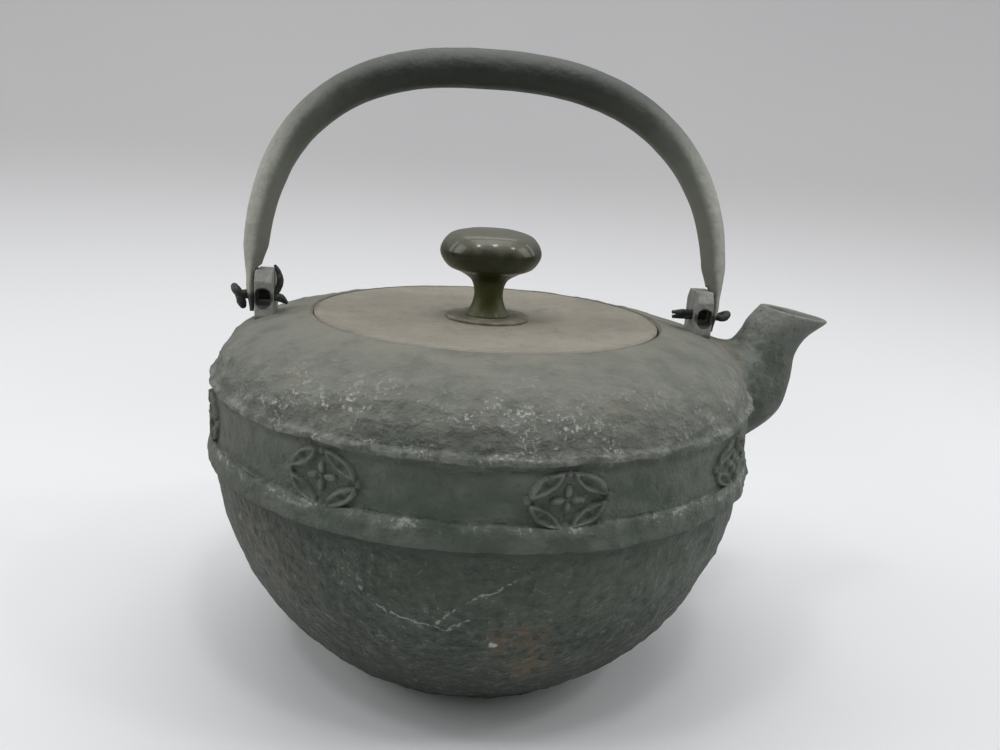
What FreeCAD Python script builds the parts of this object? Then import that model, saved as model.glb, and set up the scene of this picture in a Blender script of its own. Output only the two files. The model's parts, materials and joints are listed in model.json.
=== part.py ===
import FreeCAD, Part
import math
import os

from FreeCAD import Placement, Rotation, Vector

# A cast iron pouring kettle. Millimetres, +Z up, +X towards the spout,
# with the origin at the middle of the flat base.

# Vessel casting
BOWL_RADIUS = 86.6
BOWL_CENTRE_Z = 75.0
WALL = 4.0
FLOOR = 5.0
FOOT_EDGE_RADIUS = 3.0
BELLY_HEIGHT = 17.0
SHOULDER_RADIUS = 20.0
SHOULDER_SLOPE = math.radians(12.3)

# Ribs and medallions on the band round the vessel
LOWER_RIB_BELOW_CENTRE = 3.5
LOWER_RIB_HEIGHT = 6.8
LOWER_RIB_STANDS_OUT = 2.2
LOWER_RIB_TAPER = 0.8
UPPER_RIB_ABOVE_BELLY = 2.9
UPPER_RIB_ROUND = 1.3
UPPER_RIB_SUNK = 0.43
RIB_ROOT = 1.5
MEDALLIONS_EACH_SIDE = 4
MEDALLION_FIRST = 36.6
MEDALLION_SPACING = 41.6
MEDALLION_HALF_WIDTH = 9.6
MEDALLION_HALF_HEIGHT = 7.4
MEDALLION_RELIEF = 1.1
PETAL_TIP_GAP = 0.9
PETAL_WAIST = 0.40
FLOWER_REACH = 3.6
FLOWER_PETAL_RADIUS = 1.25
MEDALLION_DOT_RADIUS = 0.9

# Lid and its seat
LID_RADIUS = 56.0
LID_EDGE = 3.0
LID_GAP = 0.35
LID_DISH = 1.6
LID_THICKNESS = 3.2
LID_EDGE_CHAMFER = 0.6
MOUTH_RADIUS = 51.0
LEDGE_DEPTH = 3.5
LEDGE_BACK = 4.0
LID_RING_GAP = 0.8
LID_RING_WALL = 2.5
LID_RING_DROP = 7.0

# Knob, its washers and its riveted shank
KNOB_HEIGHT = 28.2
KNOB_HEAD_RADIUS = 16.5
KNOB_HEAD_Z = 21.4
KNOB_UNDER_RADIUS = 9.6
KNOB_UNDER_Z = 14.2
KNOB_LIP_RADIUS = 13.0
KNOB_LIP_Z = 16.0
KNOB_NECK_RADIUS = 4.7
KNOB_NECK_Z = 7.2
KNOB_FOOT_RADIUS = 7.3
KNOB_CROWN_RADIUS = 12.9
KNOB_CROWN_DROP = 1.65
SHANK_RADIUS = 3.0
SHANK_FIT = 0.05
WASHER_RADIUS = 13.8
WASHER_THICKNESS = 1.2
BACKING_RADIUS = 9.0
BACKING_THICKNESS = 1.4
RIVET_RADIUS = 5.0
RIVET_HEIGHT = 2.0

# Spout: each station is (out from the bowl's radius, up from the bowl's centre,
# lean of the section from level in degrees, half length, half width)
SPOUT_STATIONS = (
    (-9.6, 13.0, 56.0, 18.6, 15.0),
    (4.1, 23.0, 37.3, 16.4, 14.2),
    (8.2, 27.5, 31.0, 12.6, 11.4),
    (10.4, 34.5, 20.0, 10.1, 9.8),
    (12.5, 38.8, 15.2, 10.3, 9.7),
    (18.0, 44.2, 10.0, 11.8, 10.8),
)
SPOUT_WALL = 2.6
SPOUT_LIP = 1.9

# Lugs on the shoulder
LUG_INSET = 14.9
LUG_WIDTH = 5.4
LUG_DEPTH = 13.0
LUG_CHAMFER = 1.6
LUG_SIDE_WALL = 0.9
LUG_TOP_ABOVE_PIN = 8.4
LUG_WINDOW_BELOW_PIN = 2.8
LUG_WINDOW_ABOVE_PIN = 3.6
LUG_WINDOW_CORNER = 1.2
TANG_RADIUS = 2.2
TANG_PAST_WALL = 1.2
TANG_TOP_BELOW_WINDOW = 1.0
TANG_FIT = 0.05

# Split pins, which are the hinge of the handle
PIN_ABOVE_SHOULDER = 6.2
PIN_RADIUS = 1.6
PIN_FIT = 0.06
PIN_END_GAP = 0.5
PIN_INNER_REACH = 0.4
EYE_RADIUS = 2.7
EYE_WIRE_RADIUS = 1.35
EYE_TILT = 18.0
EYE_DROP = 1.2
LEG_THICKNESS = 1.5
LEG_WIDTH = 2.4
LEG_BEND_RADIUS = 1.0
# Each leg is (bend in degrees, straight length, way it is spread in degrees)
SPOUT_PIN_LEGS = ((24.0, 4.2, 90.0), (14.0, 4.4, -90.0))
REAR_PIN_LEGS = ((86.0, 8.0, 0.0), (24.0, 3.6, 180.0))

# Handle: a skewed superellipse that rises from the pins
HANDLE_RISE = 73.5
HANDLE_ROUNDNESS = 2.47
HANDLE_SKEW = -2.8
HANDLE_LEG_INSET = 0.9
HANDLE_TAPER_LENGTH = 14.0
HANDLE_LEG_THICKNESS = 7.0
HANDLE_APEX_THICKNESS = 12.0
HANDLE_LEG_WIDTH = 8.6
HANDLE_APEX_WIDTH = 12.0
HANDLE_SECTIONS = 13
# Half of the ridged section, as shares of its thickness (outwards) and its width
HANDLE_HALF_OUTLINE = ((0.5, 0.0), (0.42, 0.27), (0.10, 0.5), (-0.30, 0.41), (-0.5, 0.16))
TAB_THICKNESS = 3.2
TAB_RADIUS = 4.3
HANDLE_SIDE_GAP = 0.35
HANDLE_SWING_GAP = 0.5

# Sizes that follow from those above
SHOULDER_START_Z = BOWL_CENTRE_Z + BELLY_HEIGHT
LOWER_RIB_Z = BOWL_CENTRE_Z - LOWER_RIB_BELOW_CENTRE
UPPER_RIB_Z = SHOULDER_START_Z + UPPER_RIB_ABOVE_BELLY
SHOULDER_CENTRE_R = BOWL_RADIUS - SHOULDER_RADIUS
SLOPE_START_R = SHOULDER_CENTRE_R + SHOULDER_RADIUS * math.sin(SHOULDER_SLOPE)
SLOPE_START_Z = SHOULDER_START_Z + SHOULDER_RADIUS * math.cos(SHOULDER_SLOPE)
RIM_RADIUS = LID_RADIUS + LID_GAP
RIM_Z = SLOPE_START_Z + (SLOPE_START_R - RIM_RADIUS) * math.tan(SHOULDER_SLOPE)
LEDGE_Z = RIM_Z - LID_EDGE
LID_CENTRE_Z = RIM_Z - LID_DISH
LID_UNDER_Z = LID_CENTRE_Z - LID_THICKNESS
WASHER_TOP_Z = LID_CENTRE_Z + WASHER_THICKNESS
BACKING_Z = LID_UNDER_Z - BACKING_THICKNESS
LUG_X = BOWL_RADIUS - LUG_INSET
LUG_OUTER_X = LUG_X + LUG_WIDTH / 2
LUG_INNER_X = LUG_X - LUG_WIDTH / 2
TAB_INNER_X = LUG_OUTER_X + HANDLE_SIDE_GAP
TAB_OUTER_X = TAB_INNER_X + TAB_THICKNESS
TANGENT_STEP = 0.01
Z_AXIS = Vector(0, 0, 1)
ORIGIN = Vector(0, 0, 0)


def shoulder_z(radius, offset=0.0):
    """Height of the vessel's surface over a radius, offset inwards through its wall."""
    shoulder = SHOULDER_RADIUS - offset
    start_r = SHOULDER_CENTRE_R + shoulder * math.sin(SHOULDER_SLOPE)
    start_z = SHOULDER_START_Z + shoulder * math.cos(SHOULDER_SLOPE)
    if radius <= start_r:
        return start_z + (start_r - radius) * math.tan(SHOULDER_SLOPE)
    return SHOULDER_START_Z + math.sqrt(max(shoulder**2 - (radius - SHOULDER_CENTRE_R) ** 2, 0.0))


PIN_Z = shoulder_z(LUG_X) + PIN_ABOVE_SHOULDER


def point(radius, z):
    return Vector(radius, 0, z)


def line(a, b):
    return Part.LineSegment(a, b).toShape()


def arc(a, middle, b):
    return Part.Arc(a, middle, b).toShape()


def turned(edges):
    """A solid of revolution about Z from the edges of a closed outline."""
    face = Part.Face(Part.Wire(edges))
    return face.revolve(ORIGIN, Z_AXIS, 360)


def polygon_turned(corners):
    edges = [line(a, b) for a, b in zip(corners, corners[1:] + corners[:1])]
    return turned(edges)


def cylinder_along_x(radius, low_x, high_x, z=PIN_Z):
    return Part.makeCylinder(radius, high_x - low_x, Vector(low_x, 0, z), Vector(1, 0, 0))


# Kettle body: one sand-cast vessel

def vessel_outline(offset, floor_z):
    """Edges of the vessel's surface from its floor to the rim, offset inwards."""
    bowl = BOWL_RADIUS - offset
    floor_r = math.sqrt(bowl**2 - (BOWL_CENTRE_Z - floor_z) ** 2)
    floor_turn = math.atan2(floor_z - BOWL_CENTRE_Z, floor_r) / 2
    bowl_middle = point(bowl * math.cos(floor_turn), BOWL_CENTRE_Z + bowl * math.sin(floor_turn))
    shoulder = SHOULDER_RADIUS - offset
    slope_turn = math.pi / 2 - SHOULDER_SLOPE
    slope_r = SHOULDER_CENTRE_R + shoulder * math.cos(slope_turn)
    shoulder_middle = point(
        SHOULDER_CENTRE_R + shoulder * math.cos(slope_turn / 2),
        SHOULDER_START_Z + shoulder * math.sin(slope_turn / 2),
    )
    floor_end = point(floor_r, floor_z)
    belly_low = point(bowl, BOWL_CENTRE_Z)
    belly_high = point(bowl, SHOULDER_START_Z)
    slope_start = point(slope_r, shoulder_z(slope_r, offset))
    rim = point(RIM_RADIUS, shoulder_z(RIM_RADIUS, offset))
    return [
        line(point(0, floor_z), floor_end),
        arc(floor_end, bowl_middle, belly_low),
        line(belly_low, belly_high),
        arc(belly_high, shoulder_middle, slope_start),
        line(slope_start, rim),
    ], rim


def filled_vessel(offset, floor_z):
    edges, rim = vessel_outline(offset, floor_z)
    top = point(0, rim.z)
    return turned(edges + [line(rim, top), line(top, point(0, floor_z))])


def band_ribs():
    root = BOWL_RADIUS - RIB_ROOT
    low = LOWER_RIB_Z
    high = LOWER_RIB_Z + LOWER_RIB_HEIGHT
    face = BOWL_RADIUS + LOWER_RIB_STANDS_OUT
    lower = polygon_turned(
        [point(root, low), point(face - LOWER_RIB_TAPER, low), point(face, high), point(root, high)]
    )
    upper = Part.makeTorus(BOWL_RADIUS - UPPER_RIB_SUNK, UPPER_RIB_ROUND, point(0, UPPER_RIB_Z))
    return [lower, upper]


def medallion_faces():
    """Flat outlines of one medallion: four pointed petals, a flower and two dots."""
    wide = MEDALLION_HALF_WIDTH
    tall = MEDALLION_HALF_HEIGHT
    diagonal = math.sqrt(0.5)
    faces = []
    for side in (1, -1):
        for lift in (1, -1):
            side_tip = Vector(side * wide, lift * PETAL_TIP_GAP, 0)
            lift_tip = Vector(side * PETAL_TIP_GAP, lift * tall, 0)
            outer = Vector(side * wide * diagonal, lift * tall * diagonal, 0)
            inner = Vector(side * wide * PETAL_WAIST, lift * tall * PETAL_WAIST, 0)
            petal = [arc(side_tip, outer, lift_tip), arc(lift_tip, inner, side_tip)]
            faces.append(Part.Face(Part.Wire(petal)))
    for across, up in ((1, 0), (-1, 0), (0, 1), (0, -1)):
        reach = FLOWER_REACH - FLOWER_PETAL_RADIUS
        centre = Vector(across * reach, up * reach, 0)
        faces.append(Part.Face(Part.Wire(Part.makeCircle(FLOWER_PETAL_RADIUS, centre))))
    for side in (1, -1):
        centre = Vector(side * (wide + MEDALLION_DOT_RADIUS), 0, 0)
        faces.append(Part.Face(Part.Wire(Part.makeCircle(MEDALLION_DOT_RADIUS, centre))))
    return faces


def medallions():
    """Raised medallions along both sides of the band, clear of the spout."""
    root = BOWL_RADIUS - RIB_ROOT
    crown = BOWL_RADIUS + MEDALLION_RELIEF
    rib_top = LOWER_RIB_Z + LOWER_RIB_HEIGHT
    middle_z = (rib_top + UPPER_RIB_Z - UPPER_RIB_ROUND) / 2
    low = middle_z - MEDALLION_HALF_HEIGHT
    skin = Part.makeCylinder(crown, 2 * MEDALLION_HALF_HEIGHT, point(0, low))
    skin = skin.cut(Part.makeCylinder(root, 2 * MEDALLION_HALF_HEIGHT, point(0, low)))
    # The outline's own X and Y become the way round the band and the way up.
    stand = Rotation(Vector(0, 1, 0), Vector(0, 0, 1), Vector(1, 0, 0), "ZXY")
    reach = crown + MEDALLION_RELIEF
    start = math.sqrt(root**2 - (MEDALLION_HALF_WIDTH + 2 * MEDALLION_DOT_RADIUS) ** 2) - RIB_ROOT
    prisms = []
    for face in medallion_faces():
        prism = face.extrude(Vector(0, 0, reach - start))
        prism.Placement = Placement(Vector(start, 0, middle_z), stand)
        prisms.append(prism.common(skin))
    raised = []
    for number in range(MEDALLIONS_EACH_SIDE):
        turn = MEDALLION_FIRST + MEDALLION_SPACING * number
        for prism in prisms:
            for side in (1, -1):
                copy = prism.copy()
                copy.rotate(ORIGIN, Z_AXIS, side * turn)
                raised.append(copy)
    return raised


def mouth_ledge():
    """The lip inside the mouth on which the lid lies."""
    back = RIM_RADIUS + LEDGE_BACK
    under = LEDGE_Z - LEDGE_DEPTH
    cover = shoulder_z(back, WALL / 2)
    return polygon_turned(
        [
            point(MOUTH_RADIUS, under),
            point(back, under),
            point(back, cover),
            point(RIM_RADIUS, cover),
            point(RIM_RADIUS, LEDGE_Z),
            point(MOUTH_RADIUS, LEDGE_Z),
        ]
    )


def kettle_body():
    outside = filled_vessel(0, 0)
    foot = [edge for edge in outside.Edges if edge.BoundBox.ZMax < FOOT_EDGE_RADIUS / 2]
    outside = outside.makeFillet(FOOT_EDGE_RADIUS, [max(foot, key=lambda edge: edge.Length)])
    inside = filled_vessel(WALL, FLOOR)
    body = outside.cut(inside)
    body = body.cut(Part.makeCylinder(RIM_RADIUS, RIM_Z, point(0, LEDGE_Z - LEDGE_DEPTH)))
    body = body.fuse(band_ribs() + [mouth_ledge()])
    body = body.fuse(medallions())
    body = body.cut(spout_loft(SPOUT_WALL, SPOUT_LIP))
    for side in (1, -1):
        tang_hole = Part.makeCylinder(TANG_RADIUS + TANG_FIT, PIN_Z, point(side * LUG_X, BOWL_CENTRE_Z))
        body = body.cut(tang_hole)
    return body.removeSplitter()


# Spout: a short, fat, flared beak that is open into the vessel

def spout_section(station, wall):
    out, up, lean, half_length, half_width = station
    ellipse = Part.Ellipse(ORIGIN, max(half_length, half_width) - wall, min(half_length, half_width) - wall)
    wire = Part.Wire(ellipse.toShape())
    centre = Vector(BOWL_RADIUS + out, 0, BOWL_CENTRE_Z + up)
    wire.Placement = Placement(centre, Rotation(Vector(0, 1, 0), lean))
    return wire


def spout_loft(wall, lip):
    walls = [wall] * (len(SPOUT_STATIONS) - 1) + [lip]
    sections = [spout_section(station, thick) for station, thick in zip(SPOUT_STATIONS, walls)]
    return Part.makeLoft(sections, True)


def spout(body):
    shell = spout_loft(0, 0).cut(spout_loft(SPOUT_WALL, SPOUT_LIP))
    outside = filled_vessel(0, 0)
    shell = shell.cut(outside).cut(body)
    return max(shell.Solids, key=lambda solid: solid.Volume)


# Lugs: two upright ears with a window, set into the shoulder by a tang

def lug(side, body_outside):
    low_z = shoulder_z(LUG_OUTER_X) - WALL / 2
    top_z = PIN_Z + LUG_TOP_ABOVE_PIN
    block = Part.makeBox(LUG_WIDTH, LUG_DEPTH, top_z - low_z, Vector(LUG_INNER_X, -LUG_DEPTH / 2, low_z))
    top_edges = [edge for edge in block.Edges if edge.BoundBox.ZMin > top_z - LUG_CHAMFER]
    block = block.makeChamfer(LUG_CHAMFER, top_edges)
    window_width = LUG_WIDTH - 2 * LUG_SIDE_WALL
    window_low = PIN_Z - LUG_WINDOW_BELOW_PIN
    window = Part.makeBox(
        window_width,
        LUG_DEPTH,
        LUG_WINDOW_BELOW_PIN + LUG_WINDOW_ABOVE_PIN,
        Vector(LUG_X - window_width / 2, -LUG_DEPTH / 2, window_low),
    )
    long_edges = [edge for edge in window.Edges if edge.BoundBox.YLength > LUG_DEPTH / 2]
    window = window.makeFillet(LUG_WINDOW_CORNER, long_edges)
    block = block.cut(window)
    bore = PIN_RADIUS + PIN_FIT
    block = block.cut(cylinder_along_x(bore, LUG_INNER_X, LUG_OUTER_X))
    slot = Part.makeBox(
        LUG_WIDTH / 2, 2 * bore, LUG_WINDOW_ABOVE_PIN, Vector(LUG_INNER_X, -bore, PIN_Z)
    )
    block = block.cut(slot).cut(body_outside)
    tang_low = shoulder_z(LUG_X, WALL) - TANG_PAST_WALL
    tang_length = window_low - TANG_TOP_BELOW_WINDOW - tang_low
    tang = Part.makeCylinder(TANG_RADIUS, tang_length, point(LUG_X, tang_low))
    solid = block.fuse(tang).removeSplitter()
    if side < 0:
        solid.rotate(ORIGIN, Z_AXIS, 180)
    return solid


# Split pins: folded iron strip, with an eye outside and two legs bent apart inside

def leg(turn, straight, spread_axis):
    """One leg that leaves the shank's inner end, bends by turn degrees and runs straight on."""
    angle = math.radians(turn)
    near = LEG_BEND_RADIUS
    far = LEG_BEND_RADIUS + LEG_THICKNESS

    def at(radius, bend, ahead=0.0):
        along = radius * math.sin(bend) + ahead * math.cos(bend)
        aside = far - radius * math.cos(bend) + ahead * math.sin(bend)
        return Vector(-along, 0, aside - LEG_THICKNESS)

    edges = [
        line(at(near, 0), at(far, 0)),
        arc(at(far, 0), at(far, angle / 2), at(far, angle)),
        line(at(far, angle), at(far, angle, straight)),
        line(at(far, angle, straight), at(near, angle, straight)),
        line(at(near, angle, straight), at(near, angle)),
        arc(at(near, angle), at(near, angle / 2), at(near, 0)),
    ]
    strip = Part.Face(Part.Wire(edges)).extrude(Vector(0, LEG_WIDTH, 0))
    strip.translate(Vector(0, -LEG_WIDTH / 2, LEG_THICKNESS))
    strip.rotate(ORIGIN, Vector(1, 0, 0), spread_axis)
    strip.translate(Vector(LUG_INNER_X - PIN_INNER_REACH, 0, PIN_Z))
    return strip


def split_pin(side, eye, shank_end, legs):
    shank = cylinder_along_x(PIN_RADIUS, LUG_INNER_X - PIN_INNER_REACH, shank_end)
    solid = shank.fuse([eye] + [leg(*bend) for bend in legs]).removeSplitter()
    if side < 0:
        solid.rotate(ORIGIN, Z_AXIS, 180)
    return solid


def spout_split_pin():
    """The eye lies level and the legs stay nearly closed."""
    shank_end = TAB_OUTER_X + PIN_END_GAP + EYE_WIRE_RADIUS
    eye = Part.makeTorus(EYE_RADIUS, EYE_WIRE_RADIUS, Vector(shank_end + EYE_RADIUS, 0, PIN_Z))
    return split_pin(1, eye, shank_end, SPOUT_PIN_LEGS)


def rear_split_pin():
    """The eye is hammered over and the legs are bent up and down."""
    tilt = math.radians(EYE_TILT)
    eye_x = TAB_OUTER_X + PIN_END_GAP + EYE_WIRE_RADIUS + EYE_RADIUS * math.sin(tilt)
    normal = Vector(math.cos(tilt), 0, -math.sin(tilt))
    eye = Part.makeTorus(EYE_RADIUS, EYE_WIRE_RADIUS, Vector(eye_x, 0, PIN_Z - EYE_DROP), normal)
    return split_pin(-1, eye, eye_x + EYE_WIRE_RADIUS / 2, REAR_PIN_LEGS)


# Handle: one forged bail whose flattened ends swing on the split pins

def handle_point(turn):
    """Centre line at turn, from the spout's pin at 0 to the rear pin at pi."""
    half_span = (TAB_INNER_X + TAB_OUTER_X) / 2 - HANDLE_LEG_INSET
    power = 2 / HANDLE_ROUNDNESS
    across = math.copysign(abs(math.cos(turn)) ** power, math.cos(turn))
    up = math.sin(turn) ** power
    return Vector(half_span * across + HANDLE_SKEW * math.sin(turn) ** 2, 0, PIN_Z + HANDLE_RISE * up)


def handle_section(centre, outward, thick, wide):
    """A softly ridged section: a narrow crown outside, a flatter face inside."""
    outline = list(HANDLE_HALF_OUTLINE) + [(u, -v) for u, v in reversed(HANDLE_HALF_OUTLINE[1:])]
    points = [centre + outward * (u * thick) + Vector(0, v * wide, 0) for u, v in outline]
    curve = Part.BSplineCurve()
    curve.interpolate(points, PeriodicFlag=True)
    return Part.Wire(curve.toShape())


def bail_section(turn):
    tangent = handle_point(turn + TANGENT_STEP).sub(handle_point(turn - TANGENT_STEP)).normalize()
    outward = Vector(tangent.z, 0, -tangent.x)
    share = math.sin(turn)
    thick = HANDLE_LEG_THICKNESS + (HANDLE_APEX_THICKNESS - HANDLE_LEG_THICKNESS) * share
    wide = HANDLE_LEG_WIDTH + (HANDLE_APEX_WIDTH - HANDLE_LEG_WIDTH) * share
    return handle_section(handle_point(turn), outward, thick, wide)


def tab_section(side):
    centre = Vector(side * (TAB_INNER_X + TAB_OUTER_X) / 2, 0, PIN_Z)
    return handle_section(centre, Vector(side, 0, 0), TAB_THICKNESS, 2 * TAB_RADIUS)


def handle():
    leg_start = math.asin((HANDLE_TAPER_LENGTH / HANDLE_RISE) ** (HANDLE_ROUNDNESS / 2))
    step = (math.pi - 2 * leg_start) / (HANDLE_SECTIONS - 1)
    sections = [bail_section(leg_start + step * number) for number in range(HANDLE_SECTIONS)]
    bail = Part.makeLoft([tab_section(1)] + sections + [tab_section(-1)], True)
    bail = bail.fuse(
        [
            cylinder_along_x(TAB_RADIUS, TAB_INNER_X, TAB_OUTER_X),
            cylinder_along_x(TAB_RADIUS, -TAB_OUTER_X, -TAB_INNER_X),
        ]
    )
    lug_side = math.hypot(LUG_DEPTH / 2, LUG_TOP_ABOVE_PIN - LUG_CHAMFER)
    lug_top = math.hypot(LUG_DEPTH / 2 - LUG_CHAMFER, LUG_TOP_ABOVE_PIN)
    swing = max(lug_side, lug_top) + HANDLE_SWING_GAP
    bail = bail.cut(cylinder_along_x(swing, -TAB_INNER_X, TAB_INNER_X))
    outside = TAB_OUTER_X + HANDLE_LEG_THICKNESS
    bail = bail.cut(cylinder_along_x(PIN_RADIUS + PIN_FIT, -outside, outside))
    return bail.removeSplitter()


# Lid: a scooped disc with a locating ring underneath

def lid():
    ring_outer = MOUTH_RADIUS - LID_RING_GAP
    ring_inner = ring_outer - LID_RING_WALL
    ring_low = LEDGE_Z - LID_RING_DROP
    hole = SHANK_RADIUS + SHANK_FIT
    edge_r = LID_RADIUS - LID_EDGE_CHAMFER

    def top_z(radius):
        return LID_CENTRE_Z + LID_DISH * (radius / edge_r) ** 2

    outline = [
        arc(point(0, LID_CENTRE_Z), point(edge_r / 2, top_z(edge_r / 2)), point(edge_r, RIM_Z)),
    ]
    corners = [
        point(edge_r, RIM_Z),
        point(LID_RADIUS, RIM_Z - LID_EDGE_CHAMFER),
        point(LID_RADIUS, LEDGE_Z),
        point(ring_outer, LEDGE_Z),
        point(ring_outer, ring_low),
        point(ring_inner, ring_low),
        point(ring_inner, LID_UNDER_Z),
        point(0, LID_UNDER_Z),
        point(0, LID_CENTRE_Z),
    ]
    outline += [line(a, b) for a, b in zip(corners, corners[1:])]
    disc = turned(outline)
    seat_depth = top_z(WASHER_RADIUS) - LID_CENTRE_Z
    disc = disc.cut(Part.makeCylinder(WASHER_RADIUS + SHANK_FIT, 2 * seat_depth, point(0, LID_CENTRE_Z)))
    return disc.cut(Part.makeCylinder(hole, RIM_Z - LID_UNDER_Z, point(0, LID_UNDER_Z)))


def flat_washer(radius, thickness, z):
    plate = Part.makeCylinder(radius, thickness, point(0, z))
    return plate.cut(Part.makeCylinder(SHANK_RADIUS + SHANK_FIT, thickness, point(0, z)))


def knob():
    """Mushroom knob with its shank through the lid and its end hammered over."""
    z = WASHER_TOP_Z
    underside = Part.BSplineCurve()
    underside.interpolate(
        [
            point(KNOB_FOOT_RADIUS, z),
            point(KNOB_NECK_RADIUS, z + KNOB_NECK_Z),
            point(KNOB_UNDER_RADIUS, z + KNOB_UNDER_Z),
            point(KNOB_LIP_RADIUS, z + KNOB_LIP_Z),
            point(KNOB_HEAD_RADIUS, z + KNOB_HEAD_Z),
        ],
        InitialTangent=Vector(-1, 0, 1),
        FinalTangent=Vector(0, 0, 1),
    )
    crown_z = z + KNOB_HEIGHT
    crown = Part.BSplineCurve()
    crown.interpolate(
        [
            point(KNOB_HEAD_RADIUS, z + KNOB_HEAD_Z),
            point(KNOB_CROWN_RADIUS, crown_z - KNOB_CROWN_DROP),
            point(0, crown_z),
        ],
        InitialTangent=Vector(0, 0, 1),
        FinalTangent=Vector(-1, 0, 0),
    )
    rivet_z = BACKING_Z - RIVET_HEIGHT
    corners = [
        point(0, crown_z),
        point(0, rivet_z),
        point(RIVET_RADIUS - RIVET_HEIGHT / 2, rivet_z),
        point(RIVET_RADIUS, BACKING_Z),
        point(SHANK_RADIUS, BACKING_Z),
        point(SHANK_RADIUS, z),
        point(KNOB_FOOT_RADIUS, z),
    ]
    edges = [underside.toShape(), crown.toShape()]
    edges += [line(a, b) for a, b in zip(corners, corners[1:])]
    return turned(edges)


def build():
    body = kettle_body()
    outside = filled_vessel(0, 0)
    return {
        "kettle_body": body,
        "spout": spout(body),
        "spout_lug": lug(1, outside),
        "rear_lug": lug(-1, outside),
        "spout_split_pin": spout_split_pin(),
        "rear_split_pin": rear_split_pin(),
        "handle": handle(),
        "lid": lid(),
        "knob": knob(),
        "knob_washer": flat_washer(WASHER_RADIUS, WASHER_THICKNESS, LID_CENTRE_Z),
        "knob_backing_washer": flat_washer(BACKING_RADIUS, BACKING_THICKNESS, BACKING_Z),
    }


os.makedirs("parts", exist_ok=True)
for name, shape in build().items():
    shape.exportStep("parts/" + name + ".step")
    box = shape.BoundBox
    print(
        name,
        "solids", len(shape.Solids),
        "valid", shape.isValid(),
        "volume", round(shape.Volume),
        "x", round(box.XMin, 1), round(box.XMax, 1),
        "y", round(box.YMin, 1), round(box.YMax, 1),
        "z", round(box.ZMin, 1), round(box.ZMax, 1),
    )
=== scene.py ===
import json
import math
from types import SimpleNamespace

import bmesh
import bpy
import numpy as np
from mathutils import Matrix, Vector


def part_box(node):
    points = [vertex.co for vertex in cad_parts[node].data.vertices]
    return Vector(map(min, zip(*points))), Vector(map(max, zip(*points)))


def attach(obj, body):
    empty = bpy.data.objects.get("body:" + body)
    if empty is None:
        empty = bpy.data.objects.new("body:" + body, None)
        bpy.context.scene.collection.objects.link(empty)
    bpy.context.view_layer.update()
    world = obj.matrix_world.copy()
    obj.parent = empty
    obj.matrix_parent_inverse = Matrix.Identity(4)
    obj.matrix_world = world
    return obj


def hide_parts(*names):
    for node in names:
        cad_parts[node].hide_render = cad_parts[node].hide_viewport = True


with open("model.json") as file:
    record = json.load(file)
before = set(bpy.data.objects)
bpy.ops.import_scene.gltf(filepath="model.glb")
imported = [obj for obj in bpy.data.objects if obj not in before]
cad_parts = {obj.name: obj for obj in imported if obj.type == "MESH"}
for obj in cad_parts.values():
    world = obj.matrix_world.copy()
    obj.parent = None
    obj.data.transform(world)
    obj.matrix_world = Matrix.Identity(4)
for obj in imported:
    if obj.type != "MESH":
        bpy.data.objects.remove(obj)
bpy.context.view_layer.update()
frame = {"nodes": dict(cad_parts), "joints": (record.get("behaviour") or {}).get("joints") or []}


# Vessel: the round body of the kettle, with a band between two ribs and a sloping shoulder.
# It is iron, cast in one piece in a sand mould, which leaves lumps, pits and wavy ribs.

mm = 0.001
BOWL_RADIUS = 86.6 * mm
BOWL_CENTRE = 75 * mm
WALL = 4 * mm
FLOOR = 5 * mm
FOOT_ROUND = 3 * mm
LOWER_RIB_LOW = 71.5 * mm
LOWER_RIB_HIGH = 78.3 * mm
LOWER_RIB_OUT = 2.2 * mm
LOWER_RIB_TAPER = 1.0 * mm
RIB_EDGE = 0.55 * mm
UPPER_RIB = 94.9 * mm
UPPER_RIB_ROUND = 1.3 * mm
UPPER_RIB_SUNK = 0.2 * mm
SHOULDER_START = 92 * mm
SHOULDER_RADIUS = 20 * mm
LID_GAP = 0.35 * mm
LID_EDGE = 3 * mm
MOUTH_RADIUS = 51 * mm
LEDGE_DEPTH = 3.5 * mm
LEDGE_BACK = 4 * mm
VESSEL_AROUND = 480
RIM_DROP = 0.1 * mm
COAT_ROUGHNESS = 0.14
# Degrees: the slope of the shoulder, and how far past the upper rib its turn starts.
SHOULDER_SLOPE = 12.3
PAST_RIB = 2
# Rings over the rim that keep the finish of the outside.
RIM_RINGS = 12
# Points of an outline this near to each other are one, and this near to the axis are on it.
SAME_POINT = 0.02 * mm
ON_AXIS = 0.001 * mm

# The lumps and the sway of the casting, and the crust on the turn of its shoulder.
VESSEL_SKIN = {
    "seed": 3.0, "lump": 9 * mm, "lump_height": 2.4 * mm, "grain": 3.4 * mm, "grain_height": 1.2 * mm,
    "sway": 9 * mm, "sway_reach": 4.0 * mm,
}
VESSEL_CRUST = {"crust": 5 * mm, "crust_height": 3.2 * mm}

# Colours of the iron, of the pot below the ribs, of the dust on the shoulder and of the inside.
IRON_DARK = (0.068, 0.088, 0.066)
IRON_PALE = (0.116, 0.137, 0.110)
IRON_REAR = (0.086, 0.080, 0.066)
POT_DARK = (0.049, 0.063, 0.047)
POT_PALE = (0.082, 0.099, 0.078)
# Painted shade on the lower bowl's side away from the spout.
POT_REAR_SHADE = (0.028, 0.030, 0.022)
# The pot turns darker towards the bottom.
POT_BOTTOM = (0.016, 0.021, 0.014)
DUST_DARK = (0.160, 0.167, 0.143)
DUST_PALE = (0.196, 0.200, 0.173)
DUST_WARM = (0.198, 0.176, 0.145)
DUST_BY_LID = (0.246, 0.232, 0.192)
DUST_THIN = (0.118, 0.134, 0.112)
DUST_WIPED = (0.112, 0.128, 0.106)
LINING_DARK = (0.055, 0.034, 0.022)
LINING_PALE = (0.120, 0.072, 0.044)
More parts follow.
